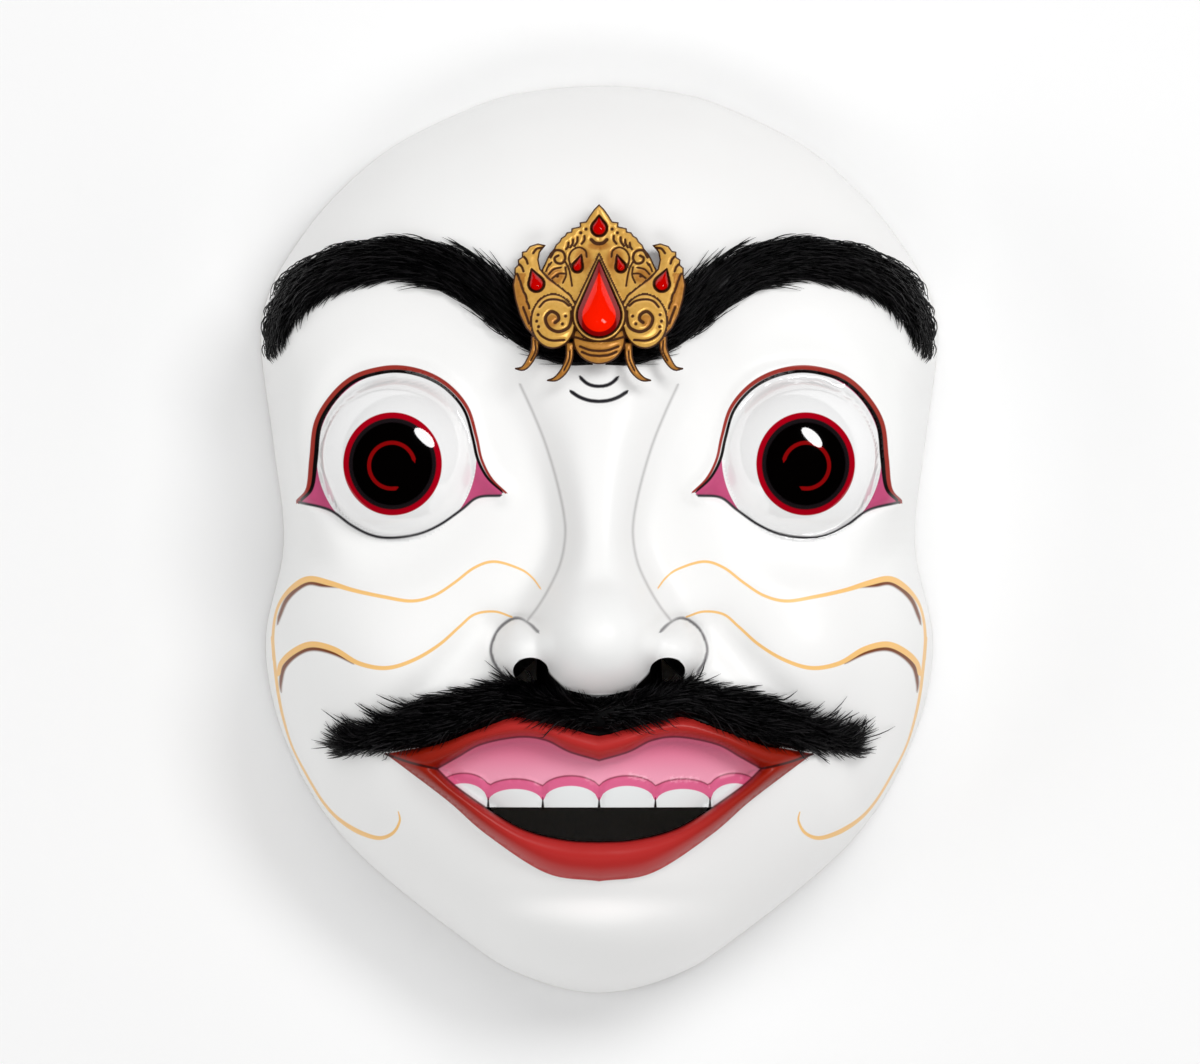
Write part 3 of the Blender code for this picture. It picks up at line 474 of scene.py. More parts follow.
# Fine carving on top of the part's own forms, as lines on the grid for the right half
LOWER_LID = [(21.6, -9.8), (14.8, -11.5), (10.0, -14.8), (5.6, -17.0), (1.2, -17.6), (-4.6, -16.8),
             (-9.4, -14.8), (-14.2, -11.5), (-17.8, -8.8), (-22.9, -8.4)]
LID_EDGE = [(21.1, -9.5), (18.6, -6.7), (17.7, -0.2), (16.8, 7.1), (13.6, 12.6), (9.3, 16.5), (4.1, 18.3),
            (-1.0, 18.7), (-6.5, 17.4), (-11.2, 14.6), (-14.9, 10.1), (-16.7, 4.2), (-17.8, -0.5),
            (-20.0, -4.6), (-23.3, -7.7)]
FROWN_LINES = [[(4.2, 35.4), (2.8, 34.1), (1.4, 33.5), (0, 33.35)],
               [(6.2, 32.3), (4.4, 31.1), (2.2, 30.3), (0, 30.05)]]
BRIDGE_CREASE = [(17.3, 33.9), (14.4, 27.6), (11.6, 20.6), (9.2, 12.6), (7.7, 5.6), (7.4, 0.6), (8.4, -5.0),
                 (10.6, -10.0), (13.2, -14.4), (15.7, -17.7)]
WING_CREASE = [(13.2, -20.1), (15.6, -18.0), (18.6, -17.2), (21.8, -19.4), (23.5, -23.1), (23.2, -26.1),
               (21.3, -29.4)]
LIP_SEAM = [(46.8, -46.8), (41.5, -48.6), (35.5, -50.0)]
NOSTRIL_PAINT = [(17.4, -28.2, 1.5), (16.3, -28.0, 2.2), (14.4, -29.2, 3.0), (12.2, -31.2, 2.6),
                 (9.6, -32.6, 1.8), (7.4, -33.4, 0.8)]

# Gold brushwork on the cheeks, as (across, up, half width)
UPPER_GOLD = [(12.7, -10.8, 0.18), (14.6, -8.3, 0.2), (17.3, -6.4, 0.25), (22.8, -4.8, 0.3),
              (27.2, -6.1, 0.3), (31.6, -9.4, 0.3), (36.0, -12.2, 0.32), (40.9, -13.4, 0.36),
              (47.0, -12.5, 0.4), (53.6, -11.1, 0.45), (59.0, -9.5, 0.6), (63.4, -8.6, 0.65),
              (66.7, -10.0, 0.65), (69.5, -12.7, 0.65), (71.1, -16.0, 0.65), (71.8, -21.0, 0.6),
              (71.6, -26.4, 0.5)]
LOWER_GOLD = [(19.0, -16.9, 0.22), (22.8, -15.7, 0.25), (27.2, -16.3, 0.28), (30.5, -19.0, 0.3),
              (34.9, -22.9, 0.35), (40.4, -26.2, 0.4), (46.4, -28.0, 0.45), (52.5, -27.0, 0.5),
              (57.9, -24.0, 0.6), (62.9, -22.9, 0.65), (66.7, -24.3, 0.65), (69.8, -27.0, 0.6),
              (70.6, -29.7, 0.5)]
EDGE_GOLD = [(72.0, -21.5, 0.5), (71.4, -27.5, 0.6), (70.7, -33.6, 0.6), (69.5, -39.6, 0.6),
             (67.6, -45.7, 0.6), (64.5, -51.7, 0.6), (61.2, -57.2, 0.6), (57.9, -61.0, 0.6),
             (53.6, -63.8, 0.55), (48.6, -65.4, 0.45), (45.3, -64.3, 0.35), (43.7, -61.6, 0.25),
             (44.0, -59.4, 0.12)]
# Brown lines painted beside the outer bends of the upper and lower gold lines as their painted shadow, as
# (across, up, half width)
UPPER_GOLD_PAINTED_SHADOW = [(57.0, -10.4, 0.15), (60.5, -9.95, 0.45), (63.6, -9.45, 0.55), (66.3, -10.8, 0.55),
                    (68.75, -13.3, 0.55), (70.15, -16.5, 0.45), (70.75, -18.8, 0.12)]
LOWER_GOLD_PAINTED_SHADOW = [(53.6, -27.1, 0.15), (58.3, -24.7, 0.45), (62.8, -23.8, 0.55), (66.3, -25.1, 0.55),
                    (69.15, -27.9, 0.55), (70.0, -31.4, 0.4), (69.9, -33.6, 0.1)]
GOLD_LINES = {"upper_gold": UPPER_GOLD, "lower_gold": LOWER_GOLD, "edge_gold": EDGE_GOLD,
              "upper_gold_painted_shadow": UPPER_GOLD_PAINTED_SHADOW, "lower_gold_painted_shadow": LOWER_GOLD_PAINTED_SHADOW}
# The dark gap beside a tooth: its room, and its line as (up from the teeth's ends, half width)
TOOTH_GAP = 0.05
TOOTH_GAP_LINE = [(-1, 0.45), (0.6, 0.25), (2.4, 0.05)]
SLOPE_REACH = 0.3

# The painted iris and pupil, in grid steps round their middle
PUPIL_AT = (45.1, 16.5)
PUPIL_TALL = 1.04
PUPIL_RADIUS = 8.7
PUPIL_BORDER = 9.6
IRIS_RADIUS = 10.8
ARC_AT = (45.2, 16.1)
ARC_RADIUS = 5.0
ARC_FROM, ARC_TO = math.radians(11), math.radians(283)
EYE_WHITE = (17.5, 18.7)
LID_LINE_WIDTHS = (0.3, 0.4, 0.5, 0.5, 0.45, 0.4, 0.38, 0.38, 0.36, 0.34, 0.34, 0.34, 0.34, 0.3, 0.2)
RED_LINE_WIDTHS = (0.55, 0.6, 0.65, 0.62, 0.6, 0.58, 0.55, 0.52, 0.5, 0.45, 0.4, 0.34, 0.3, 0.3, 0.25)
RED_LINE_OUT = 0.82
# The widest half of a brush line on level wood, and how far out a line is still told apart
BRUSH_HALF = 1.7
LINE_REACH = 1.6
# How near to the lips' rings a place is moved onto them, and the share of the outline that is rim
EDGE_DRAW = 0.28
ON_RIM = 0.99999
# How far out from a ring the edges of its hole may be, in the face and in the coarser hollow
FACE_HOLE_REACH = 1.5
HOLLOW_HOLE_REACH = 3.0
# The face's finishes, in the order that they are given to it
WHITE_LACQUER, BARE_WOOD, BLACK_PAINT, GLAZED_LACQUER = range(4)

FACE_CELLS = ((262, 320))
HOLLOW_CELLS = ((96, 116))
STEEP_SHARE = 0.35
GILT_CELL = 0.24
BROW_STRANDS = 2600
MOUSTACHE_STRANDS = 4200

# The knife's finer lines: creases, frown lines and lid edges, as (line, depth, width)
KNIFE_LINES = [
    (smooth_line(LOWER_LID) + EYE_AT, 0.9, 0.8),
    (smooth_line(LID_EDGE) + EYE_AT, 0.7, 0.6),
    (smooth_line(WING_CREASE), 1.0, 0.9),
    (smooth_line(BRIDGE_CREASE), 0.35, 1.2),
    (smooth_line(LIP_SEAM), 0.8, 0.7),
    *((smooth_line(line), 0.55, 0.7) for line in FROWN_LINES),
]


def fine_carved(x, y):
    """The carved surface with the knife's finer lines."""
    height = carved(x, y)
    for line, depth, width in KNIFE_LINES:
        height -= depth * bell(nearest_on(np.abs(x), y, line)[0], width)
    return np.minimum(height, NOSE_TIP)


def unit_disc(bm, cells):
    """A sheet of cells over a unit disc, nearly even in the middle. Returns vertices and places."""
    made = bmesh.ops.create_grid(bm, x_segments=cells[0], y_segments=cells[1], size=1)["verts"]
    u, v = np.array([w.co[:2] for w in made]).T
    return made, u * np.sqrt(1 - v * v / 2), v * np.sqrt(1 - u * u / 2)


def evened(reach):
    """Share of the way to the outline, drawn out near the rim so that the steep side gets rows too."""
    share = np.sin(np.linspace(0, math.pi / 2, 600))
    side = STEEP_SHARE * dome(share, DOME_RISE) / DOME_RISE
    return at_shares(np.column_stack([share, side]), reach, share)[0]


def sheet_over(bm, cells, wall):
    """A flat sheet that fills the outline, less a wall's width, in grid steps."""
    made, x, y = unit_disc(bm, cells)
    share = evened(np.minimum(np.hypot(x, y), 1))
    edge = outline_radius(x, y) - wall
    turn = np.arctan2(y, x)
    for v, px, py in zip(made, share * edge * np.cos(turn), share * edge * np.sin(turn)):
        v.co = (px, py, 0)
    return made


def open_edges(verts):
    return list({e for v in verts if v.is_valid for e in v.link_edges if e.is_boundary})


def nearest_on_ring(x, y, ring):
    """Distance to a ring, and the places on it that are nearest."""
    line = closed_line(ring)
    d, share = nearest_on(x, y, line)
    return d, *at_shares(line, share, *line.T)


def cut_opening(bm, sheet, ring, reach):
    """Takes what is inside a ring out of a flat sheet, and draws the hole's edge onto the ring."""
    faces = list({f for v in sheet if v.is_valid for f in v.link_faces})
    middle = np.array([f.calc_center_median()[:2] for f in faces])
    inside = inside_distance(middle[:, 0], middle[:, 1], ring) > 0
    bmesh.ops.delete(bm, geom=[f for f, out in zip(faces, inside) if out], context="FACES")
    edges = []
    for e in open_edges(sheet):
        place = (e.verts[0].co + e.verts[1].co) / 2
        if inside_distance(np.array([place.x]), np.array([place.y]), ring)[0] > -reach:
            edges.append(e)
    hole = list({v for e in edges for v in e.verts})
    _, near_x, near_y = nearest_on_ring(*flat_places(hole), ring)
    for v, px, py in zip(hole, near_x, near_y):
        v.co = (px, py, 0)
    return edges


def mouth_opening():
    """Outline of the way through below the teeth."""
    lower = smooth_line(MOUTH_BOTTOM)
    below = lower[lower[:, 1] < TEETH_BOTTOM]
    corner = np.interp(-TEETH_BOTTOM, -lower[:, 1], lower[:, 0])
    top = np.linspace((0, TEETH_BOTTOM), (corner, TEETH_BOTTOM), 12)
    return mirrored(np.vstack([top, below]))


def drawn_onto(x, y, ring):
    """The same places, with those close to a ring moved onto it, so that the carved edge is clean."""
    d, near_x, near_y = nearest_on_ring(x, y, ring)
    return np.where(d < EDGE_DRAW, near_x, x), np.where(d < EDGE_DRAW, near_y, y)


def flat_places(verts):
    """Where vertices are on the grid, while their sheet is still flat."""
    return np.array([v.co[:2] for v in verts]).T


def put(verts, x, y, z):
    places = np.stack([x * STEP_X, y * STEP_Y, z * STEP_Z], axis=-1)
    for v, place in zip(verts, places):
        v.co = place


def carved_face():
    """The whole carving: face, hollow and rim, with the mouth and the nostrils cut through."""
    bm = bmesh.new()
    wall = RIM_WALL / STEP_X
    outside = sheet_over(bm, FACE_CELLS, 0)
    inside = sheet_over(bm, HOLLOW_CELLS, wall)
    bmesh.ops.reverse_faces(bm, faces=list({f for v in inside for f in v.link_faces}))
    rims = [open_edges(outside), open_edges(inside)]
    rings = [mouth_opening()]
    rings += [ellipse((side * NOSTRIL_AT[0], NOSTRIL_AT[1]), NOSTRIL_REACH, 24) for side in (-1, 1)]
    holes = []
    for ring in rings:
        edges = cut_opening(bm, outside, ring, FACE_HOLE_REACH)
        holes.append(edges + cut_opening(bm, inside, ring, HOLLOW_HOLE_REACH))
    outside = [v for v in outside if v.is_valid]
    inside = [v for v in inside if v.is_valid]
    x, y = flat_places(outside)
    for ring in (LIP_RING, MOUTH_RING):
        x, y = drawn_onto(x, y, ring)
    put(outside, x, y, np.where(outline_share(x, y) < ON_RIM, fine_carved(x, y), 0))
    x, y = flat_places(inside)
    share = np.clip(np.hypot(x, y) / (outline_radius(x, y) - wall), 0, 1)
    put(inside, x, y, np.where(share < ON_RIM, hollowed(x, y, share), 0))
    for f in bm.faces:
        f.smooth = True
    for v in inside:
        for f in v.link_faces:
            f.material_index = BARE_WOOD
    for e in [e for edges in (*rims, *holes) for e in edges]:
        e.smooth = False
    for f in bmesh.ops.bridge_loops(bm, edges=rims[0] + rims[1])["faces"]:
        f.material_index = BARE_WOOD
    for edges in holes:
        for f in bmesh.ops.bridge_loops(bm, edges=edges)["faces"]:
            f.material_index = BLACK_PAINT
    bmesh.ops.recalc_face_normals(bm, faces=bm.faces)
    return mesh_object(bm, "carved_face")


def mesh_object(bm, name):
    mesh = bpy.data.meshes.new(name)
    bm.to_mesh(mesh)
    bm.free()
    obj = bpy.data.objects.new(name, mesh)
    bpy.context.scene.collection.objects.link(obj)
    return obj


def smooth_solid(bm, name):
    """A smooth object of closed shapes, each turned to face outwards."""
    bm.normal_update()
    bmesh.ops.recalc_face_normals(bm, faces=bm.faces)
    for f in bm.faces:
        f.smooth = True
    return mesh_object(bm, name)


def grid_places(obj):
    spots = np.empty(3 * len(obj.data.vertices))
    obj.data.vertices.foreach_get("co", spots)
    spots = spots.reshape(-1, 3)
    return spots[:, 0] / STEP_X, spots[:, 1] / STEP_Y, spots[:, 2] / STEP_Z


def note(obj, name, values):
    """Keeps a value for each vertex, which the finish reads."""
    layer = obj.data.attributes.new(name, "FLOAT", "POINT")
    layer.data.foreach_set("value", np.asarray(values, np.float32))


def note_line(obj, name, across, y, line, half_width=None, most=None):
    """Keeps a brush line: how far each vertex is from its middle, signed by side, and the half width.

    most is the widest half for each vertex, less where a steep side is seen from above.
    """
    line = smooth_line(line)
    width = line[:, 2] if half_width is None else np.full(len(line), half_width)
    d, share = nearest_on(across, y, line)
    run = np.gradient(line[:, :2], axis=0)
    near_x, near_y, run_x, run_y, half = at_shares(line, share, *line.T[:2], *run.T, width)
    side = np.sign(run_x * (y - near_y) - run_y * (across - near_x))
    past = np.abs(run_x * (across - near_x) + run_y * (y - near_y)) / np.hypot(run_x, run_y)
    half = np.where((share <= 0) | (share >= 1), half - past, half)
    half = half if most is None else np.minimum(half, most)
    half = np.where(d > half + LINE_REACH, -LINE_REACH, half)
    values = np.stack([np.where(side < 0, -d, d), half, np.zeros(len(d))], axis=-1)
    layer = obj.data.attributes.new(name, "FLOAT_VECTOR", "POINT")
    layer.data.foreach_set("vector", values.astype(np.float32).ravel())


def crown_line(across, extra):
    """Height of the crowns' tops along the row of teeth, dipping between them."""
    tops = [crown_over(across, tooth, extra)[1] for tooth in TEETH]
    return np.maximum.reduce([np.full(len(across), TEETH_BOTTOM + CROWN_DIP), *tops]) + extra


def paint_guides(obj):
    """Works out for each vertex how far inside each painted shape it is, in grid steps."""
    x, y, _ = grid_places(obj)
    across = np.abs(x)
    lid_points, low_points = np.array(LID_EDGE) + EYE_AT, np.array(LOWER_LID) + EYE_AT
    eye_ring = np.vstack([smooth_line(LID_EDGE) + EYE_AT, (smooth_line(LOWER_LID) + EYE_AT)[::-1]])
    note(obj, "eye_opening", inside_distance(across, y, eye_ring))
    on_ball = np.hypot((across - EYE_AT[0]) / EYE_WHITE[0], (y - EYE_AT[1]) / EYE_WHITE[1])
    note(obj, "eye_white", (1 - on_ball) * EYE_WHITE[0])
    for polygon in obj.data.polygons:
        if polygon.material_index == WHITE_LACQUER and on_ball[polygon.vertices[0]] < 1:
            polygon.material_index = GLAZED_LACQUER
    note(obj, "pupil_reach", np.hypot(across - PUPIL_AT[0], (y - PUPIL_AT[1]) / PUPIL_TALL))
    turn = np.linspace(ARC_FROM, ARC_TO, 40)
    arc = np.stack([ARC_AT[0] - ARC_RADIUS * np.cos(turn), ARC_AT[1] + ARC_RADIUS * np.sin(turn)], axis=-1)
    out = (lid_points - EYE_AT) / np.hypot(*(lid_points - EYE_AT).T)[:, None]
    red_points = lid_points + out * RED_LINE_OUT
    note_line(obj, "upper_lid", across, y, np.column_stack([lid_points, LID_LINE_WIDTHS]))
    note_line(obj, "red_lid", across, y, np.column_stack([red_points, RED_LINE_WIDTHS]))
    note_line(obj, "nostril", across, y, NOSTRIL_PAINT)
    # The bridge crease line is light grey painted shade along the crease beside the nose's bridge.
    for name, line, half_width in (
        ("lower_lid", low_points, 0.3), ("arc", arc, 0.42), ("frown_upper", FROWN_LINES[0], 0.4),
        ("frown_lower", FROWN_LINES[1], 0.42), ("bridge_crease_shade", BRIDGE_CREASE, 0.22),
        ("lip_seam", LIP_SEAM, 0.28),
    ):
        note_line(obj, name, across, y, line, half_width)
    slope_x = carved(x + SLOPE_REACH, y) - carved(x - SLOPE_REACH, y)
    slope_y = carved(x, y + SLOPE_REACH) - carved(x, y - SLOPE_REACH)
    level = 1 / np.hypot(1, np.hypot(slope_x, slope_y) / (2 * SLOPE_REACH))
    for name, line in GOLD_LINES.items():
        note_line(obj, name, across, y, line, most=BRUSH_HALF * level)
    # Grey painted shade along the crease round the nose's wing.
    note_line(obj, "wing_crease_shade", across, y, WING_CREASE, 0.35, np.maximum(level, 0.15))
    note(obj, "lips", inside_distance(x, y, LIP_RING))
    note(obj, "mouth", inside_distance(x, y, MOUTH_RING))
    note(obj, "crowns", crown_line(across, 0) - y)
    note(obj, "scallops", crown_line(across, GUM_SCALLOP) - y)
    gaps = [centre + half_width + TOOTH_GAP for centre, half_width, _ in TEETH[:2]]
    for k, place in enumerate([0, *gaps]):
        gap = [(place, TEETH_BOTTOM + up, half) for up, half in TOOTH_GAP_LINE]
        note_line(obj, f"tooth_gap_{k}", across, y, gap)


# Finishes


def srgb(red, green, blue):
    """A colour as the shader takes it, from the numbers a painter would read off a swatch."""
    parts = np.array([red, green, blue]) / 255
    return (*np.where(parts <= 0.04045, parts / 12.92, ((parts + 0.055) / 1.055) ** 2.4).tolist(), 1)


class Finish:
    """A Principled material and the few kinds of node that these finishes are mixed from."""

    def __init__(self, name, roughness=0.4, metallic=0.0):
        self.material = bpy.data.materials.new(name)
        self.material.use_nodes = True
        self.tree = self.material.node_tree
        self.shader = self.tree.nodes["Principled BSDF"]
        self.shader.inputs["Roughness"].default_value = roughness
        self.shader.inputs["Metallic"].default_value = metallic

    def node(self, kind, **settings):
        made = self.tree.nodes.new(kind)
        for key, value in settings.items():
            setattr(made, key, value)
        return made

    def feed(self, socket, value):
        if isinstance(value, bpy.types.NodeSocket):
            self.tree.links.new(value, socket)
        else:
            socket.default_value = value

    def guide(self, name):
        return self.node("ShaderNodeAttribute", attribute_name=name).outputs["Fac"]

    def place(self, axis):
        where = self.node("ShaderNodeTexCoord").outputs["Object"]
        split = self.node("ShaderNodeSeparateXYZ")
        self.feed(split.inputs[0], where)
        return split.outputs[axis]

    def number(self, operation, first, second=0.0):
        made = self.node("ShaderNodeMath", operation=operation)
        self.feed(made.inputs[0], first)
        self.feed(made.inputs[1], second)
        return made.outputs[0]

    def step(self, value, low, high, to_low=0.0, to_high=1.0):
        made = self.node("ShaderNodeMapRange", interpolation_type="SMOOTHSTEP")
        for socket, given in zip(made.inputs[:5], (value, low, high, to_low, to_high)):
            self.feed(socket, given)
        return made.outputs[0]

    def blend(self, share, first, second):
        made = self.node("ShaderNodeMix", data_type="RGBA")
        self.feed(made.inputs["Factor"], share)
        self.feed(made.inputs[6], first)
        self.feed(made.inputs[7], second)
        return made.outputs[2]

    def noise(self, scale, detail=3.0, stretch=(1, 1, 1)):
        where = self.node("ShaderNodeTexCoord").outputs["Object"]
        mapping = self.node("ShaderNodeMapping")
        mapping.inputs["Scale"].default_value = stretch
        self.feed(mapping.inputs["Vector"], where)
        made = self.node("ShaderNodeTexNoise")
        made.inputs["Scale"].default_value = scale
        made.inputs["Detail"].default_value = detail
        self.feed(made.inputs["Vector"], mapping.outputs[0])
        return made.outputs["Fac"]

    def bump(self, height, depth, strength=1.0):
        made = self.node("ShaderNodeBump")
        made.inputs["Strength"].default_value = strength
        made.inputs["Distance"].default_value = depth
        self.feed(made.inputs["Height"], height)
        self.feed(self.shader.inputs["Normal"], made.outputs[0])

    def colour(self, value):
        self.feed(self.shader.inputs["Base Color"], value)

    def set(self, name, value):
        self.feed(self.shader.inputs[name], value)


# Painted lines in the order of the brush, as (name, colour, softness of the edge); the grey crease lines are
# painted shade and the brown lines beside the gold are painted shadow
CHEEK_PAINT = [
    ("bridge_crease_shade", (196, 194, 194), 0.4), ("wing_crease_shade", (132, 130, 132), 0.3),
    ("upper_gold_painted_shadow", (122, 58, 0), 0.3), ("lower_gold_painted_shadow", (122, 58, 0), 0.3),
    ("upper_gold", (255, 204, 128), 0.12), ("lower_gold", (255, 204, 128), 0.12),
    ("edge_gold", (255, 204, 128), 0.12), ("frown_upper", (34, 32, 38), 0.2),
    ("frown_lower", (34, 32, 38), 0.2),
]
LID_PAINT = [("arc", (140, 8, 10), 0.12), ("upper_lid", (16, 12, 12), 0.12), ("lower_lid", (58, 56, 60), 0.2)]
# Where the lips darken from the middle outwards, and where the gum darkens from the top down as painted shade
# under the upper lip, in metres
LIP_SHADE = (0.012, 0.040)
GUM_SHADE = (-0.054, -0.044)
GUM_LINE_HALF = 0.16
MOUTH_LINE_HALF = 0.22


def lacquer(name, glazed=False):
    """White lacquer with everything that is painted on it, and a glazed kind of it for the eyes."""
    f = Finish(name, roughness=0.34)

    def over(base, amount, colour, spread=0.12):
        return f.blend(f.step(amount, -spread, spread), base, colour)

    def line(base, name, colour, spread=0.12, inside=None):
        split = f.node("ShaderNodeSeparateXYZ")
        f.feed(split.inputs[0], f.node("ShaderNodeAttribute", attribute_name=name).outputs["Vector"])
        away = f.number("ABSOLUTE", split.outputs["X"])
        amount = f.number("SUBTRACT", split.outputs["Y"], away)
        if inside is not None:
            amount = f.number("MINIMUM", amount, inside)
        return over(base, amount, srgb(*colour), spread)

    def band(value, half):
        return f.number("SUBTRACT", half, f.number("ABSOLUTE", value))

    tone = f.blend(f.step(f.noise(9, 4), 0.35, 0.75), srgb(252, 252, 251), srgb(249, 248, 247))
    for paint in CHEEK_PAINT:
        tone = line(tone, *paint)
    tone = over(tone, f.guide("eye_opening"), srgb(200, 80, 125))
    tone = line(tone, "red_lid", (160, 50, 40))
    tone = over(tone, f.guide("eye_white"), srgb(251, 251, 251))
    reach = f.guide("pupil_reach")
    tone = over(tone, f.number("SUBTRACT", IRIS_RADIUS, reach), srgb(176, 0, 24))
    tone = over(tone, f.number("SUBTRACT", PUPIL_BORDER, reach), srgb(28, 22, 25), 0.2)
    tone = over(tone, f.number("SUBTRACT", PUPIL_RADIUS, reach), srgb(2, 1, 1), 0.2)
    for paint in LID_PAINT:
        tone = line(tone, *paint)
    side = f.number("ABSOLUTE", f.place("X"))
    tone = over(tone, f.guide("lips"), f.blend(f.step(side, *LIP_SHADE), srgb(186, 42, 40), srgb(150, 28, 8)))
    tone = line(tone, "lip_seam", (70, 10, 8))
    mouth, scallops = f.guide("mouth"), f.guide("scallops")
    # The gum is painted darker towards its top, as painted shade under the upper lip.
    gum = f.blend(f.step(f.place("Y"), *GUM_SHADE), srgb(246, 168, 192), srgb(226, 118, 150))
    tone = over(tone, mouth, gum)
    tone = over(tone, f.number("MINIMUM", scallops, mouth), srgb(226, 104, 146))
    gum_line = f.number("MINIMUM", band(scallops, GUM_LINE_HALF), mouth)
    tone = over(tone, gum_line, srgb(150, 66, 88), 0.2)
    tone = over(tone, f.number("MINIMUM", f.guide("crowns"), mouth), srgb(236, 239, 239))
    for k in range(3):
        tone = line(tone, f"tooth_gap_{k}", (24, 12, 14), inside=mouth)
    tone = over(tone, band(mouth, MOUTH_LINE_HALF), srgb(92, 12, 14), 0.2)
    f.colour(line(tone, "nostril", (4, 3, 3), 0.3))
    f.set("Roughness", 0.05 if glazed else f.step(mouth, 0.0, 0.6, 0.36, 0.3))
    f.set("Specular IOR Level", 0.9 if glazed else 0.35)
    f.set("Coat Weight", 0.8 if glazed else 0.0)
    f.set("Coat Roughness", 0.03)
    f.bump(f.noise(240, 2), 0.00012, 0.04 if glazed else 0.25)
    return f.material


def raw_wood():
    """Bare pale wood with the marks of the gouge."""
    f = Finish("bare_wood", roughness=0.62)
    grain = f.noise(60, 4, stretch=(6, 0.6, 6))
    f.colour(f.blend(f.step(grain, 0.3, 0.7), srgb(214, 184, 138), srgb(186, 150, 104)))
    gouge = f.node("ShaderNodeTexVoronoi", feature="F1")
    gouge.inputs["Scale"].default_value = 95
    f.bump(gouge.outputs["Distance"], 0.0009, 0.5)
    return f.material


def black_paint():
    f = Finish("black_paint", roughness=0.6)
    f.set("Specular IOR Level", 0.1)
    f.colour(f.blend(f.noise(50, 3), srgb(4, 4, 4), srgb(14, 12, 12)))
    return f.material


def hair_finish():
    f = Finish("goat_hair", roughness=0.42)
    f.colour(f.blend(f.guide("shade"), srgb(3, 3, 4), srgb(38, 36, 38)))
    f.set("Specular IOR Level", 0.2)
    f.bump(f.noise(2500, 2), 0.00005, 0.3)
    return f.material


def gilt_finish():
    """Bright gilding with brown left in the chased lines, brown painted as shade at the feet of the raised
    parts and round the stones' seats, and gold painted darker as shade on the outer parts.
    """
    f = Finish("chased_gilding", metallic=0.3)
    spots = f.step(f.noise(900, 3), 0.3, 0.75)
    gold = f.blend(spots, srgb(250, 196, 100), srgb(240, 182, 84))
    shaded_gold = f.blend(spots, srgb(214, 148, 66), srgb(198, 130, 52))
    tone = f.blend(f.step(f.guide("shaded_gold"), 0.2, 0.8), gold, shaded_gold)
    f.colour(f.blend(f.step(f.guide("chasing_and_shade"), 0.25, 0.65), tone, srgb(84, 46, 18)))
    f.set("Roughness", f.step(f.guide("chasing_and_shade"), 0.2, 0.8, 0.34, 0.7))
    f.bump(f.noise(1600, 2), 0.00004, 0.3)
    return f.material


def stone_finish(name, bright, dark, border):
    f = Finish(name, roughness=0.05)
    # The red is painted darker near the stone's edge, as painted shade on its steep flank.
    rim = f.step(f.guide("from_edge"), border * 0.85, border * 1.15)
    f.colour(f.blend(rim, dark, bright))
    f.set("Specular IOR Level", 0.3)
    return f.material


def floor_finish():
    f = Finish("pale_floor", roughness=0.9)
    f.colour(f.blend(f.noise(3, 2), srgb(252, 252, 252), srgb(250, 250, 250)))
    return f.material


# Goat hair

# The share of the outline that the pads keep within
PAD_REACH = 0.975
# Strands: ranges of length, half width, and lift off the wood at root, middle and tip
BROW_LENGTHS = (6.5, 12.5)
BROW_WIDTHS = (0.10, 0.17)
BROW_LIFTS = [(0.2, 1.4), (0.3, 1.1), (0.12, 0.3)]
BROW_REACHES = (0.95, 0.988)
MOUSTACHE_LENGTHS = (5.5, 10.5)
MOUSTACHE_WIDTHS = (0.11, 0.19)
MOUSTACHE_LIFTS = [(0.4, 2.6), (0.5, 1.4), (0.2, 0.6)]
# A strand shorter than this lies flatter and straighter, and one with less room isn't planted
FULL_STRAND = 5
LEAST_ROOM = 0.7
ROOM_USED = 0.82
STRAY_SHARE = 0.07
STRAY_GROWTH = (1.35, 1.4)


def hair_shape(rings, sides):
    """One strand as a slim closed cone, with its root at 0 and its tip at 1."""
    bm = bmesh.new()
    bmesh.ops.create_cone(bm, cap_ends=True, segments=sides, radius1=1, radius2=0.12, depth=1)
    bmesh.ops.translate(bm, vec=(0, 0, 0.5), verts=bm.verts)
    long_edges = [e for e in bm.edges if abs(e.verts[0].co.z - e.verts[1].co.z) > 0.5]
    bmesh.ops.subdivide_edges(bm, edges=long_edges, cuts=rings - 1)
    mesh = bpy.data.meshes.new("strand_shape")
    bm.to_mesh(mesh)
    bm.free()
    return mesh


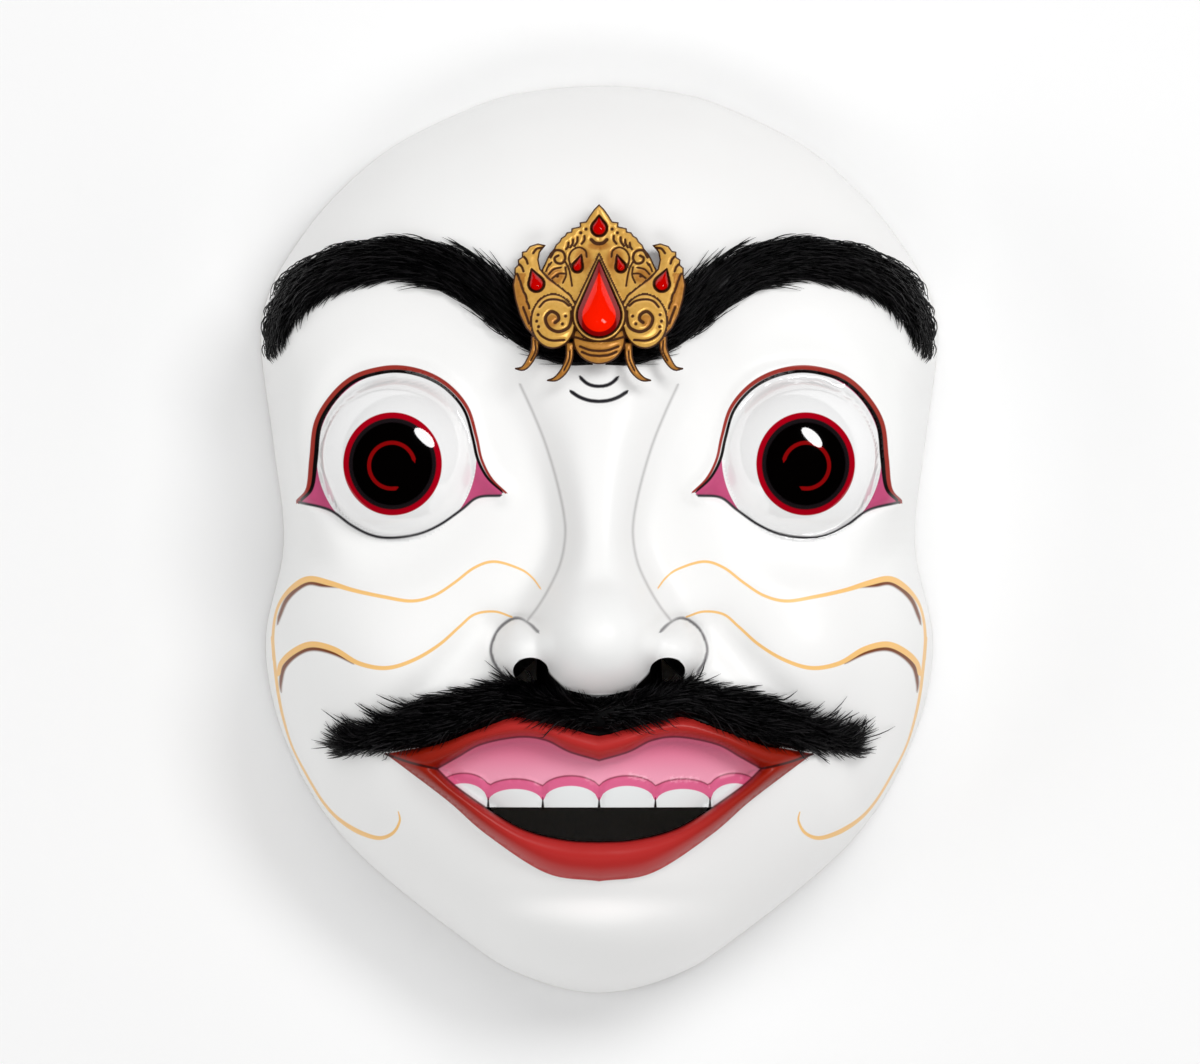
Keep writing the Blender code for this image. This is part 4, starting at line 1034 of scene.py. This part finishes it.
def strands(bm, shade, roots, ways, lengths, widths, curls, lifts, shades, reach, rings=5, sides=3):
    """Plants strands on the face: roots and ways on the grid, lengths and widths in grid steps.

    reach is the share of the outline that each strand keeps within.
    """
    shape = hair_shape(rings, sides)
    unit = np.array([v.co for v in shape.vertices])
    first = len(bm.verts)
    for _ in range(len(roots)):
        bm.from_mesh(shape)
    bpy.data.meshes.remove(shape)
    along = np.linspace(0, 1, rings + 1)
    across_way = np.stack([-ways[:, 1], ways[:, 0]], axis=-1)
    path = roots[:, None] + lengths[:, None, None] * (
        along[None, :, None] * ways[:, None] + (curls[:, None] * along**2)[..., None] * across_way[:, None]
    )
    x, y = within(path[..., 0], path[..., 1], reach[:, None])
    lift = lifts[:, :1] * (1 - along) + lifts[:, 1:2] * np.sin(math.pi * along**0.8) + lifts[:, 2:3] * along
    places = over_face(x, y, lift)
    run = np.gradient(places, axis=1)
    run /= np.linalg.norm(run, axis=-1, keepdims=True)
    side = np.cross(run, (0, 0, 1.0))
    side /= np.linalg.norm(side, axis=-1, keepdims=True)
    up = np.cross(side, run)
    ring = np.rint(unit[:, 2] * rings).astype(int)
    taper = np.sqrt(np.clip(1.02 - along**2.5, 0.01, 1))
    round_x, round_y = unit[:, :2].T / np.hypot(unit[:, 0], unit[:, 1])
    radius = widths[:, None] * taper[ring] * STEP_X
    spots = places[:, ring] + radius[..., None] * (
        round_x[None, :, None] * side[:, ring] + round_y[None, :, None] * up[:, ring]
    )
    bm.verts.ensure_lookup_table()
    for v, place in zip(bm.verts[first:], spots.reshape(-1, 3)):
        v.co = place
    for v, value in zip(bm.verts[first:], np.repeat(shades, len(unit))):
        v[shade] = value


def within(x, y, share):
    """The same places, drawn back to a share of the outline where they are past it."""
    limit = share * outline_radius(x, y) / np.maximum(np.hypot(x, y), 1e-6)
    return x * np.minimum(limit, 1), y * np.minimum(limit, 1)


def over_face(x, y, lift):
    """World places that stand a lift, in grid steps, straight off the carved surface."""
    flat_x, flat_y = x.ravel(), y.ravel()
    places = np.stack([flat_x * STEP_X, flat_y * STEP_Y, fine_carved(flat_x, flat_y) * STEP_Z], axis=-1)
    places += face_normals(flat_x, flat_y) * lift.ravel()[:, None] * STEP_Y
    return places.reshape(*x.shape, 3)


def hide(bm, line, sides, cells, thickness, edge):
    """The glued strip that the hair grows from, as a closed pad.

    sides is (0, 1) for a strip on one side of the face, and (-1, 1) for one that runs across it.
    """
    made = bmesh.ops.create_grid(bm, x_segments=cells[0], y_segments=cells[1], size=0.5)["verts"]
    faces = list({f for v in made for f in v.link_faces})
    raised = bmesh.ops.extrude_face_region(bm, geom=faces)["geom"]
    top = [v for v in raised if isinstance(v, bmesh.types.BMVert)]
    for v in top:
        v.co.z = 1
    verts = made + top
    unit = np.array([v.co for v in verts])
    along = sides[0] + (unit[:, 0] + 0.5) * (sides[1] - sides[0])
    across = 2 * unit[:, 1]
    run = unit_run(line)
    if sides[0] < 0:
        run[0] = (1, 0)
    x, y, half_width, run_x, run_y = at_shares(line, np.abs(along), *line.T, *run.T)
    half_width = half_width * np.sqrt(np.clip(1.001 - np.abs(along) ** 14, 0.05, 1))
    x, y = x - across * half_width * run_y, y + across * half_width * run_x
    x, y = within(x, y, PAD_REACH)
    crown = np.sqrt(np.clip(1 - across**2, 0, 1)) * (1 - 0.8 * ease(0.7, 1, np.abs(along)))
    places = over_face(x, y, unit[:, 2] * (0.2 + edge + (thickness - edge) * crown) - 0.2)
    places[:, 0] *= np.where(along < 0, -1, 1)
    for v, place in zip(verts, places):
        v.co = place


def hair_roots(dice, line, count, stop, spread, crowd):
    """Roots scattered over a strip: places, the strip's direction there, and how far across, -1 to 1."""
    along = stop * dice.random(count) ** crowd
    across = dice.uniform(-spread, spread, count)
    x, y, half_width, run_x, run_y = at_shares(line, along, *line.T, *unit_run(line).T)
    size = np.hypot(run_x, run_y)
    run_x, run_y = run_x / size, run_y / size
    places = np.stack([x - across * half_width * run_y, y + across * half_width * run_x], axis=-1)
    return places, np.stack([run_x, run_y], axis=-1), along, across


def narrowed(line, share):
    """A line of (across, up, half width) with its half widths taken to a share of themselves."""
    return line * np.column_stack([np.ones((len(line), 2)), share])


def drawn_spans(dice, spans, count):
    return np.stack([dice.uniform(*span, count) for span in spans], axis=-1)


def turned(ways, angle):
    """Directions turned by an angle each, anticlockwise."""
    c, s = np.cos(angle), np.sin(angle)
    return np.stack([ways[:, 0] * c - ways[:, 1] * s, ways[:, 0] * s + ways[:, 1] * c], axis=-1)


def brow(side, name):
    """The right brow, or its mirror image: hair combed outwards, which stops at the mask's side."""
    dice = np.random.default_rng(31)
    bm = bmesh.new()
    shade = bm.verts.layers.float.new("shade")
    strip = narrowed(BROW_LINE, 0.88 - 0.3 * ease(64, 75, BROW_LINE[:, 0]))
    hide(bm, strip, sides=(0, 1), cells=(70, 10), thickness=1.0, edge=0.25)
    places, ways, along, across = hair_roots(
        dice, BROW_LINE, BROW_STRANDS, stop=0.99, spread=0.9, crowd=0.7
    )
    count = len(along)
    lean = np.radians(7) * across + np.radians(9) * (1 - along) ** 2 + dice.normal(0, np.radians(4), count)
    ways = turned(ways, lean)
    lengths = dice.uniform(*BROW_LENGTHS, count) * (1 - 0.75 * along**3) * (1 - 0.3 * np.abs(across) ** 2)
    lifts = drawn_spans(dice, BROW_LIFTS, count)
    root_reach = np.hypot(*places.T)
    outward = np.clip((ways * places).sum(axis=1) / root_reach, 0.2, 1)
    reach = dice.uniform(*BROW_REACHES, count)
    room = ROOM_USED * (reach * outline_radius(*places.T) - root_reach) / outward
    lengths = np.minimum(lengths, room)
    lifts *= np.clip(lengths / FULL_STRAND, 0.05, 1)[:, None]
    bend = -0.13 * ease(0.15, 0.5, along) - 0.1 * ease(0.55, 0.9, along)
    curls = (dice.normal(0, 0.03, count) + bend) * np.clip(lengths / FULL_STRAND, 0, 1)
    widths = dice.uniform(*BROW_WIDTHS, count)
    shades = dice.random(count) ** 4
    planted = (places, ways, lengths, widths, curls, lifts, shades, reach)
    strands(bm, shade, *(values[room > LEAST_ROOM] for values in planted))
    if side < 0:
        bmesh.ops.scale(bm, vec=(-1, 1, 1), verts=bm.verts)
    return smooth_solid(bm, name)


def moustache():
    """Hair combed outwards from the middle on both sides, with a few long strays along its top."""
    dice = np.random.default_rng(47)
    bm = bmesh.new()
    shade = bm.verts.layers.float.new("shade")
    short = MOUSTACHE_LINE[MOUSTACHE_LINE[:, 0] < 54.5]
    width_share = 0.97 + 0.05 * ease(14, 4, short[:, 0]) - 0.5 * ease(38, 54, short[:, 0])
    hide(bm, narrowed(short, width_share), sides=(-1, 1), cells=(160, 12), thickness=1.7, edge=0.3)
    root_line = narrowed(MOUSTACHE_LINE, 1 - 0.45 * ease(36, 58, MOUSTACHE_LINE[:, 0]))
    places, ways, along, across = hair_roots(
        dice, root_line, MOUSTACHE_STRANDS, stop=0.92, spread=0.94, crowd=1
    )
    count = len(along)
    lean = np.radians(15) * across + np.radians(5) * ease(0.3, 0.8, along)
    lean -= np.radians(14) * ease(0.25, 0.05, along) * (across < 0.2)
    ways = turned(ways, lean + dice.normal(0, np.radians(6), count) * (1 + ease(0.7, 0.9, along)))
    lengths = dice.uniform(*MOUSTACHE_LENGTHS, count) * (1 - 0.1 * along**3)
    lengths *= (1 - 0.35 * np.abs(across)) * (0.55 + 0.45 * ease(0, 0.12, along))
    lifts = drawn_spans(dice, MOUSTACHE_LIFTS, count)
    curls = dice.normal(0.03, 0.06, count)
    widths = dice.uniform(*MOUSTACHE_WIDTHS, count)
    stray = (dice.random(count) < STRAY_SHARE) & (across > 0.1) & (along > 0.15)
    ways = np.where(stray[:, None], turned(ways, np.radians(9) * np.ones(count)), ways)
    lengths = np.where(stray, lengths * STRAY_GROWTH[0], lengths)
    widths = np.where(stray, widths * STRAY_GROWTH[1], widths)
    shades = dice.random(count) ** 4
    sides = np.where(np.arange(count) % 2, 1.0, -1.0)
    places[:, 0] *= sides
    ways[:, 0] *= sides
    strands(bm, shade, places, ways, lengths, widths, curls * sides, lifts, shades, np.ones(count))
    return smooth_solid(bm, "moustache_hair")


# The gilt brow ornament: what stands on the plate, and what is chased into it

SCROLL_SPIRAL = [(6.0, 49.6), (6.0, 48.2), (6.7, 46.1), (8.96, 45.2), (11.0, 46.2), (11.7, 48.2),
                 (10.5, 49.6), (9.1, 49.0), (8.8, 47.9), (9.6, 47.2)]
SCROLL_ARCS = [[(13.0, 50.6), (11.8, 51.9), (10.0, 52.3), (7.9, 51.9), (6.6, 50.9)],
               [(13.4, 45.4), (12.4, 44.2), (10.4, 43.3), (7.6, 43.4)]]
SCROLL_DOTS = [(13.3, 48.9), (13.6, 47.5), (13.2, 46.3), (8.0, 46.9), (7.3, 48.6)]
ARCH_DOTS = [(2.85, 67.7), (4.0, 66.9)]
ARCH_COMMAS = [[(3.2, 66.2), (3.2, 65.3), (3.8, 64.5)], [(4.7, 65.9), (4.8, 64.9), (5.4, 64.0)],
               [(5.7, 65.4), (5.8, 64.5), (6.3, 63.7)], [(6.7, 64.7), (6.8, 63.9), (7.2, 63.3)]]
ARCH_SPIRAL = [(10.6, 61.5), (9.6, 63.0), (8.0, 62.8), (7.4, 61.4), (8.1, 60.2), (9.4, 60.4), (9.7, 61.4),
               (8.9, 61.9)]
CRESCENT = [(1.7, 65.4), (0.9, 64.7), (0, 64.5)]
WING_RIBS = [[(17.2, 56.3), (16.9, 55.2), (16.6, 54.4)], [(16.5, 54.0), (16.0, 53.2), (15.8, 52.3)],
             [(15.8, 51.9), (15.4, 51.1), (15.2, 50.3)], [(16.4, 61.6), (15.9, 61.0), (15.6, 60.1)],
             [(17.3, 59.9), (16.8, 59.3), (16.5, 58.4)], [(17.9, 57.9), (17.6, 57.3), (17.4, 56.6)],
             [(12.4, 63.6), (13.6, 63.4), (14.4, 62.4)], [(16.6, 50.6), (15.9, 48.8), (15.3, 47.0)]]
BASE_BANDS = [[(0, 44.9), (2.4, 45.0), (4.9, 45.8)], [(0, 43.2), (2.6, 43.3), (5.2, 44.0)],
              [(0, 41.0), (2.0, 41.2), (4.2, 42.0)], [(0, 39.9), (2.0, 40.1), (3.8, 40.8)]]
BASE_NICKS = [(1.2, 44.1), (3.4, 44.4)]
FOOT_RIBS = [[(14.0, 43.2), (13.9, 41.0), (14.9, 38.9)], [(6.4, 41.0), (6.6, 39.0), (7.7, 36.7)]]
CHASING_DEPTH = 0.5
EDGE_SLACK = 0.08
LINE_SPREAD = 0.14
EDGE_REACH = 0.05
# Heights of the relief are in millimetres
PER_METRE = 1e3
# Half widths of the brown painted as shade along a boss's foot, of a chased dot and of the brown painted as
# shade round a seat, and the least metal over the back
FOOT_SHADE_HALF = 0.36
DOT_SIZE = 0.42
SEAT_SHADE = 0.28
LEAST_METAL = 0.5
BEZEL = (0, 48.8, 5.8, 13.7, 0)
LEAF_LINES = [[(7.6, 60.9), (6.7, 59.2), (6.2, 57.2), (5.9, 55.2)], [(8.3, 59.3), (9.9, 58.9), (11.0, 57.8)],
              [(7.3, 57.9), (8.8, 57.9), (10.2, 56.9)], [(7.4, 59.4), (7.2, 57.6), (7.9, 55.9)],
              [(2.7, 61.6), (3.0, 63.0), (4.4, 63.7), (5.9, 63.0), (6.6, 61.4), (6.2, 59.4)],
              [(10.4, 60.4), (11.2, 59.4), (11.6, 58.4)]]
LEAF_DOTS = [(9.1, 57.4), (10.9, 59.9)]
# Gold painted darker as shade, as (across, up, reach across, reach up)
SHADED_GOLD_PLACES = [(3.4, 61.0, 1.9, 2.6), (9.6, 57.4, 2.0, 1.8), (0, 64.0, 2.6, 0.9), (10.2, 47.6, 1.3, 1.5)]
SHADED_WING_EDGE = 2.4
SHADED_WING_TOP = 58.0


def dome_over(x, y, ring, low, top, bevel):
    """Signed distance to a ring, and the height of a rounded boss over it, in grid steps."""
    d = inside_distance(x, y, ring)
    return d, low + (top - low) * np.sqrt(np.clip(1 - (1 - np.clip(d / bevel, 0, 1)) ** 2, 0, 1))


def half_ring(half):
    """A right half outline, closed a little way past the middle."""
    return np.vstack([half, [(-0.5, half[-1][1]), (-0.5, half[0][1])]])


SCROLL_RING = ellipse(SCROLL_AT, SCROLL_REACH, 48)
BEZEL_RING = drop_ring(BEZEL, border=0, side=1, count=49)
# The casting's layers from the back forward, as (outline, edge height, metal, bevel, share of gold painted
# darker as shade)
LAYERS = [
    (half_ring(ARCH), 0.9, PLATE_THICKNESS, 1.2, 0.0),
    (np.array(WING), 1.2, WING_THICKNESS, 1.8, 0.0),
    (tapered(smooth_line(OUTER_FOOT, 4)), 0.6, FOOT_THICKNESS, 1.0, 1.0),
    (tapered(smooth_line(INNER_FOOT, 4)), 0.6, FOOT_THICKNESS, 1.0, 1.0),
    (SCROLL_RING, 2.2, SCROLL_THICKNESS, 3.4, 0.0),
    (ellipse(BASE_AT, BASE_REACH, 48), 1.6, BASE_THICKNESS, 3.6, 0.7),
    (BEZEL_RING, 3.4, BEZEL_THICKNESS, 0.7, 0.0),
]
# What the chaser's tool draws, as (line, half width)
CHASED_LINES = [
    (SCROLL_SPIRAL, 0.42), (ARCH_SPIRAL, 0.32), (CRESCENT, 0.45),
    *((line, 0.3) for line in SCROLL_ARCS + ARCH_COMMAS + WING_RIBS + BASE_BANDS),
    *((line, 0.24) for line in LEAF_LINES),
    *((line, 0.2) for line in FOOT_RIBS),
]
CHASED_DOTS = SCROLL_DOTS + ARCH_DOTS + BASE_NICKS + LEAF_DOTS


def gilt_relief(x, y):
    """Silhouette, height over the seat, chased lines with the brown painted as shade, and the gold painted
    darker as shade, of the ornament, on the grid.
    """
    across = np.abs(x)
    silhouette = np.full(len(x), -99.0)
    height, chasing_and_shade, shaded_gold, cut = np.zeros((4, len(x)))
    for ring, low, metal, bevel, shade_share in LAYERS:
        d, boss = dome_over(across, y, ring, low, metal * PER_METRE, bevel)
        silhouette = np.maximum(silhouette, d)
        on = (d > -EDGE_SLACK) & (boss > height)
        under = (height > 0) | on
        height = np.where(on, boss, height)
        shaded_gold = np.where(on, shade_share, shaded_gold)
        chasing_and_shade = np.where(on, 0, chasing_and_shade)
        # Brown painted as shade along the foot of each boss, on the layer below it.
        outline = bell(np.maximum(d, 0), FOOT_SHADE_HALF)
        chasing_and_shade = np.maximum(chasing_and_shade, np.where(under & (d > -LINE_SPREAD), outline, 0))
    for line, width in CHASED_LINES:
        cut = np.maximum(cut, bell(nearest_on(across, y, smooth_line(line, 5))[0], width))
    for px, py in CHASED_DOTS:
        cut = np.maximum(cut, bell(np.hypot(across - px, y - py), DOT_SIZE))
    # Gold painted darker as shade in a few places and on the outer lower wing.
    for px, py, reach_x, reach_y in SHADED_GOLD_PLACES:
        shaded_gold = np.maximum(shaded_gold, hill(across, y, 1.3, px, py, reach_x, reach_y))
    wing_edge, _ = nearest_on(across, y, WING[8:16])
    outer_wing = (across > 11) & (height > 0.5) & (wing_edge < SHADED_WING_EDGE) & (y < SHADED_WING_TOP)
    shaded_gold = np.where(outer_wing & (inside_distance(across, y, SCROLL_RING) <= 0), 1, shaded_gold)
    covered = inside_distance(across, y, BEZEL_RING) > 0
    shaded_gold = np.where(covered, 0, shaded_gold)
    cut = np.where(covered, 0, cut)
    chasing_and_shade = np.maximum(chasing_and_shade, cut)
    height = np.maximum(height - CHASING_DEPTH * cut, LEAST_METAL)
    for _, stone, side, metal in STONES:
        if side > 0:
            seat = drop_ring(stone, STONE_CLEARANCE / STEP_X, side, count=49)
            d = inside_distance(across, y, seat)
            height = np.where(d > 0, np.minimum(height, (metal - STONE_SEAT) * PER_METRE), height)
            chasing_and_shade = np.where(d > 0, 1, chasing_and_shade)
            # Brown painted as shade round each stone's seat.
            chasing_and_shade = np.maximum(chasing_and_shade, bell(np.minimum(d, 0), SEAT_SHADE))
    return silhouette, height, chasing_and_shade, shaded_gold


def gilt_ornament():
    """The casting as one closed relief over its fitted back."""
    side = max(WING)[0] + 0.6
    foot, top = INNER_FOOT[-1][1] - 1.4, ARCH[0][1] + 1.0
    bm = bmesh.new()
    layers = [bm.verts.layers.float.new(name) for name in ("chasing_and_shade", "shaded_gold")]
    cells = (2 * round(side / GILT_CELL), round((top - foot) / GILT_CELL))
    made = bmesh.ops.create_grid(bm, x_segments=cells[0], y_segments=cells[1], size=1)["verts"]
    for v in made:
        v.co = (v.co.x * side, foot + (v.co.y + 1) / 2 * (top - foot), 0)
    inside = dict(zip(made, gilt_relief(*flat_places(made))[0]))
    off = [f for f in bm.faces if np.mean([inside[v] for v in f.verts]) < 0]
    bmesh.ops.delete(bm, geom=off, context="FACES")
    edge = [v for v in bm.verts if any(e.is_boundary for e in v.link_edges)]
    for _ in range(4):
        x, y = flat_places(edge)
        d = gilt_relief(x, y)[0]
        slope_x = gilt_relief(x + EDGE_REACH, y)[0] - gilt_relief(x - EDGE_REACH, y)[0]
        slope_y = gilt_relief(x, y + EDGE_REACH)[0] - gilt_relief(x, y - EDGE_REACH)[0]
        slope = np.stack([slope_x, slope_y], -1) / (2 * EDGE_REACH)
        size = np.maximum(np.hypot(*slope.T), 0.3) ** 2
        move = np.clip(-d[:, None] * slope / size[:, None], -GILT_CELL, GILT_CELL)
        for v, (dx, dy) in zip(edge, move):
            v.co.x += dx
            v.co.y += dy
    tops = list(bm.verts)
    backs = bmesh.ops.duplicate(bm, geom=bm.verts[:] + bm.edges[:] + bm.faces[:])["geom"]
    back_verts = [v for v in backs if isinstance(v, bmesh.types.BMVert)]
    back_faces = [f for f in backs if isinstance(f, bmesh.types.BMFace)]
    bmesh.ops.reverse_faces(bm, faces=back_faces)
    x, y = flat_places(tops)
    _, height, chasing_and_shade, shaded_gold = gilt_relief(x, y)
    put(tops, x, y, (seat_height(x, y) + height / PER_METRE) / STEP_Z)
    for v, dark, shaded in zip(tops, chasing_and_shade, shaded_gold):
        v[layers[0]], v[layers[1]] = dark, shaded
    x, y = flat_places(back_verts)
    put(back_verts, x, y, seat_height(x, y) / STEP_Z)
    # The back and the side walls below are painted with the brown as shade too, and the back with the darker
    # gold.
    for v in back_verts:
        v[layers[0]], v[layers[1]] = 0.6, 1
    back_edges = [e for e in backs if isinstance(e, bmesh.types.BMEdge) and e.is_boundary]
    paired = set(back_edges)
    top_edges = [e for e in bm.edges if e.is_boundary and e not in paired]
    walls = bmesh.ops.extrude_edge_only(bm, edges=top_edges)["geom"]
    dropped = [v for v in walls if isinstance(v, bmesh.types.BMVert)]
    for v in dropped:
        x, y = v.co.x / STEP_X, v.co.y / STEP_Y
        v.co.z = float(seat_height(np.array(x), np.array(y)))
        v[layers[0]] = 0.6
    bmesh.ops.remove_doubles(bm, verts=dropped + back_verts, dist=1e-6)
    return smooth_solid(bm, "gilt_ornament")


# The stones' crowns: a higher power is flatter on top and steeper at its edge
CABOCHON_POWER = 2.2


def cabochon(name, stone, side, metal, rise, segments):
    """A polished drop-shaped stone in its seat."""
    middle_x, middle_y, half_width, reach, lean = stone
    bm = bmesh.new()
    from_edge = bm.verts.layers.float.new("from_edge")
    bmesh.ops.create_uvsphere(bm, u_segments=segments, v_segments=segments // 2, radius=1)
    unit = np.array([v.co for v in bm.verts])
    angle = np.arctan2(-unit[:, 0], unit[:, 1])
    flat = np.minimum(np.hypot(unit[:, 0], unit[:, 1]), 1)
    full = drop_radius(angle, half_width, reach)
    turn = angle + math.radians(lean)
    x = side * (middle_x - full * flat * np.sin(turn))
    y = middle_y + full * flat * np.cos(turn)
    foot = metal - STONE_SEAT + STONE_CLEARANCE
    z = metal + (1 - flat**CABOCHON_POWER) * (unit[:, 2] > 0) * rise
    z = np.where(unit[:, 2] < -1e-4, foot, z) + seat_height(x, y)
    put(bm.verts, x, y, z / STEP_Z)
    ring = drop_ring(stone, 0, side, count=97)
    for v, d, up in zip(bm.verts, inside_distance(x, y, ring), unit[:, 2]):
        v[from_edge] = d if up > 0 else 0
    return smooth_solid(bm, name)


def finished(obj, body_slot, nodes, *finishes):
    for finish in finishes:
        obj.data.materials.append(finish)
    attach(obj, "root")
    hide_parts(*nodes)
    return obj


# The mask

face = carved_face()
paint_guides(face)
paints = (lacquer("white_lacquer"), raw_wood(), black_paint(), lacquer("glazed_lacquer", glazed=True))
finished(face, "white_paint", ["mask_shell"], *paints)
hair = hair_finish()
finished(brow(1, "brow_hair_right"), "black_hair", ["brow_right"], hair)
finished(brow(-1, "brow_hair_left"), "black_hair", ["brow_left"], hair)
finished(moustache(), "black_hair", ["moustache"], hair)
finished(gilt_ornament(), "gilding", ["brow_ornament"], gilt_finish())
# Each stone's red is painted darker near its edge, as painted shade.
large_stone = stone_finish("centre_stone_red", srgb(255, 26, 0), srgb(140, 6, 6), 0.95)
small_stone = stone_finish("small_stone_red", srgb(196, 2, 0), srgb(120, 4, 0), 0.2)
for node, stone, side, metal in STONES:
    large = stone is CENTRE_STONE
    rise = CENTRE_STONE_RISE if large else SMALL_STONE_RISE
    gem = cabochon("polished_" + node, stone, side, metal, rise, 64 if large else 32)
    finished(gem, "red_stone", [node], large_stone if large else small_stone)

# The pale floor, soft light and the camera over the mask

FLOOR_REACH = 30
FLOOR_DROP = 0.0002
bm = bmesh.new()
bmesh.ops.create_grid(bm, x_segments=1, y_segments=1, size=FLOOR_REACH)
bmesh.ops.translate(bm, vec=(0, 0, -FLOOR_DROP), verts=bm.verts)
floor = mesh_object(bm, "floor")
floor.data.materials.append(floor_finish())


def soft_light(name, direction, distance, width, height, power, shines):
    """An area light facing the mask; its width runs level, across the direction it comes from."""
    lamp = bpy.data.lights.new(name, "AREA")
    lamp.shape = "ELLIPSE"
    lamp.size, lamp.size_y = width, height
    lamp.energy = power
    obj = bpy.data.objects.new(name, lamp)
    way = Vector(direction).normalized()
    level = Vector((way.y, -way.x, 0)).normalized()
    turn = Matrix((level, way.cross(level), way)).transposed()
    obj.matrix_world = Matrix.Translation(way * distance) @ turn.to_4x4()
    obj.visible_camera = False
    obj.visible_glossy = shines
    bpy.context.scene.collection.objects.link(obj)


# Only the window shines in the lacquer. No light comes straight down, so that the mouth stays black.
soft_light("window", (0.40, 0.42, 0.8), distance=1.7, width=0.95, height=0.42, power=9.5, shines=True)
for name, direction, distance, width, power in (
    ("upper_skylight", (0.0, 0.5, 1.0), 2.6, 1.8, 10.5),
    ("lower_skylight", (0.0, -0.55, 1.0), 2.6, 1.8, 13.5),
    ("left_fill", (-1.0, -0.1, 0.7), 2.2, 1.2, 6),
    ("right_fill", (1.0, -0.2, 0.7), 2.2, 1.2, 2.5),
):
    soft_light(name, direction, distance, width, height=0.8, power=power, shines=False)

world = bpy.data.worlds.new("pale_room")
bpy.context.scene.world = world
world.use_nodes = True
background = world.node_tree.nodes["Background"].inputs
background["Color"].default_value = (1, 1, 1, 1)
background["Strength"].default_value = 0.35
world.cycles_visibility.glossy = False
bpy.context.scene.view_settings.view_transform = "Standard"

# What the photograph's frame spans at the level that the camera looks at
FIELD_WIDTH = 0.2634
LOOKS_AT = Vector((0.0002, 0.00165, 0.03))
camera_data = bpy.data.cameras.new("camera")
camera_data.lens = 600
camera_data.sensor_width = 36
camera_data.clip_end = 100
camera = bpy.data.objects.new("camera", camera_data)
height = FIELD_WIDTH * camera_data.lens / camera_data.sensor_width
camera.location = LOOKS_AT + Vector((0, 0, height))
bpy.context.scene.collection.objects.link(camera)
bpy.context.scene.camera = camera
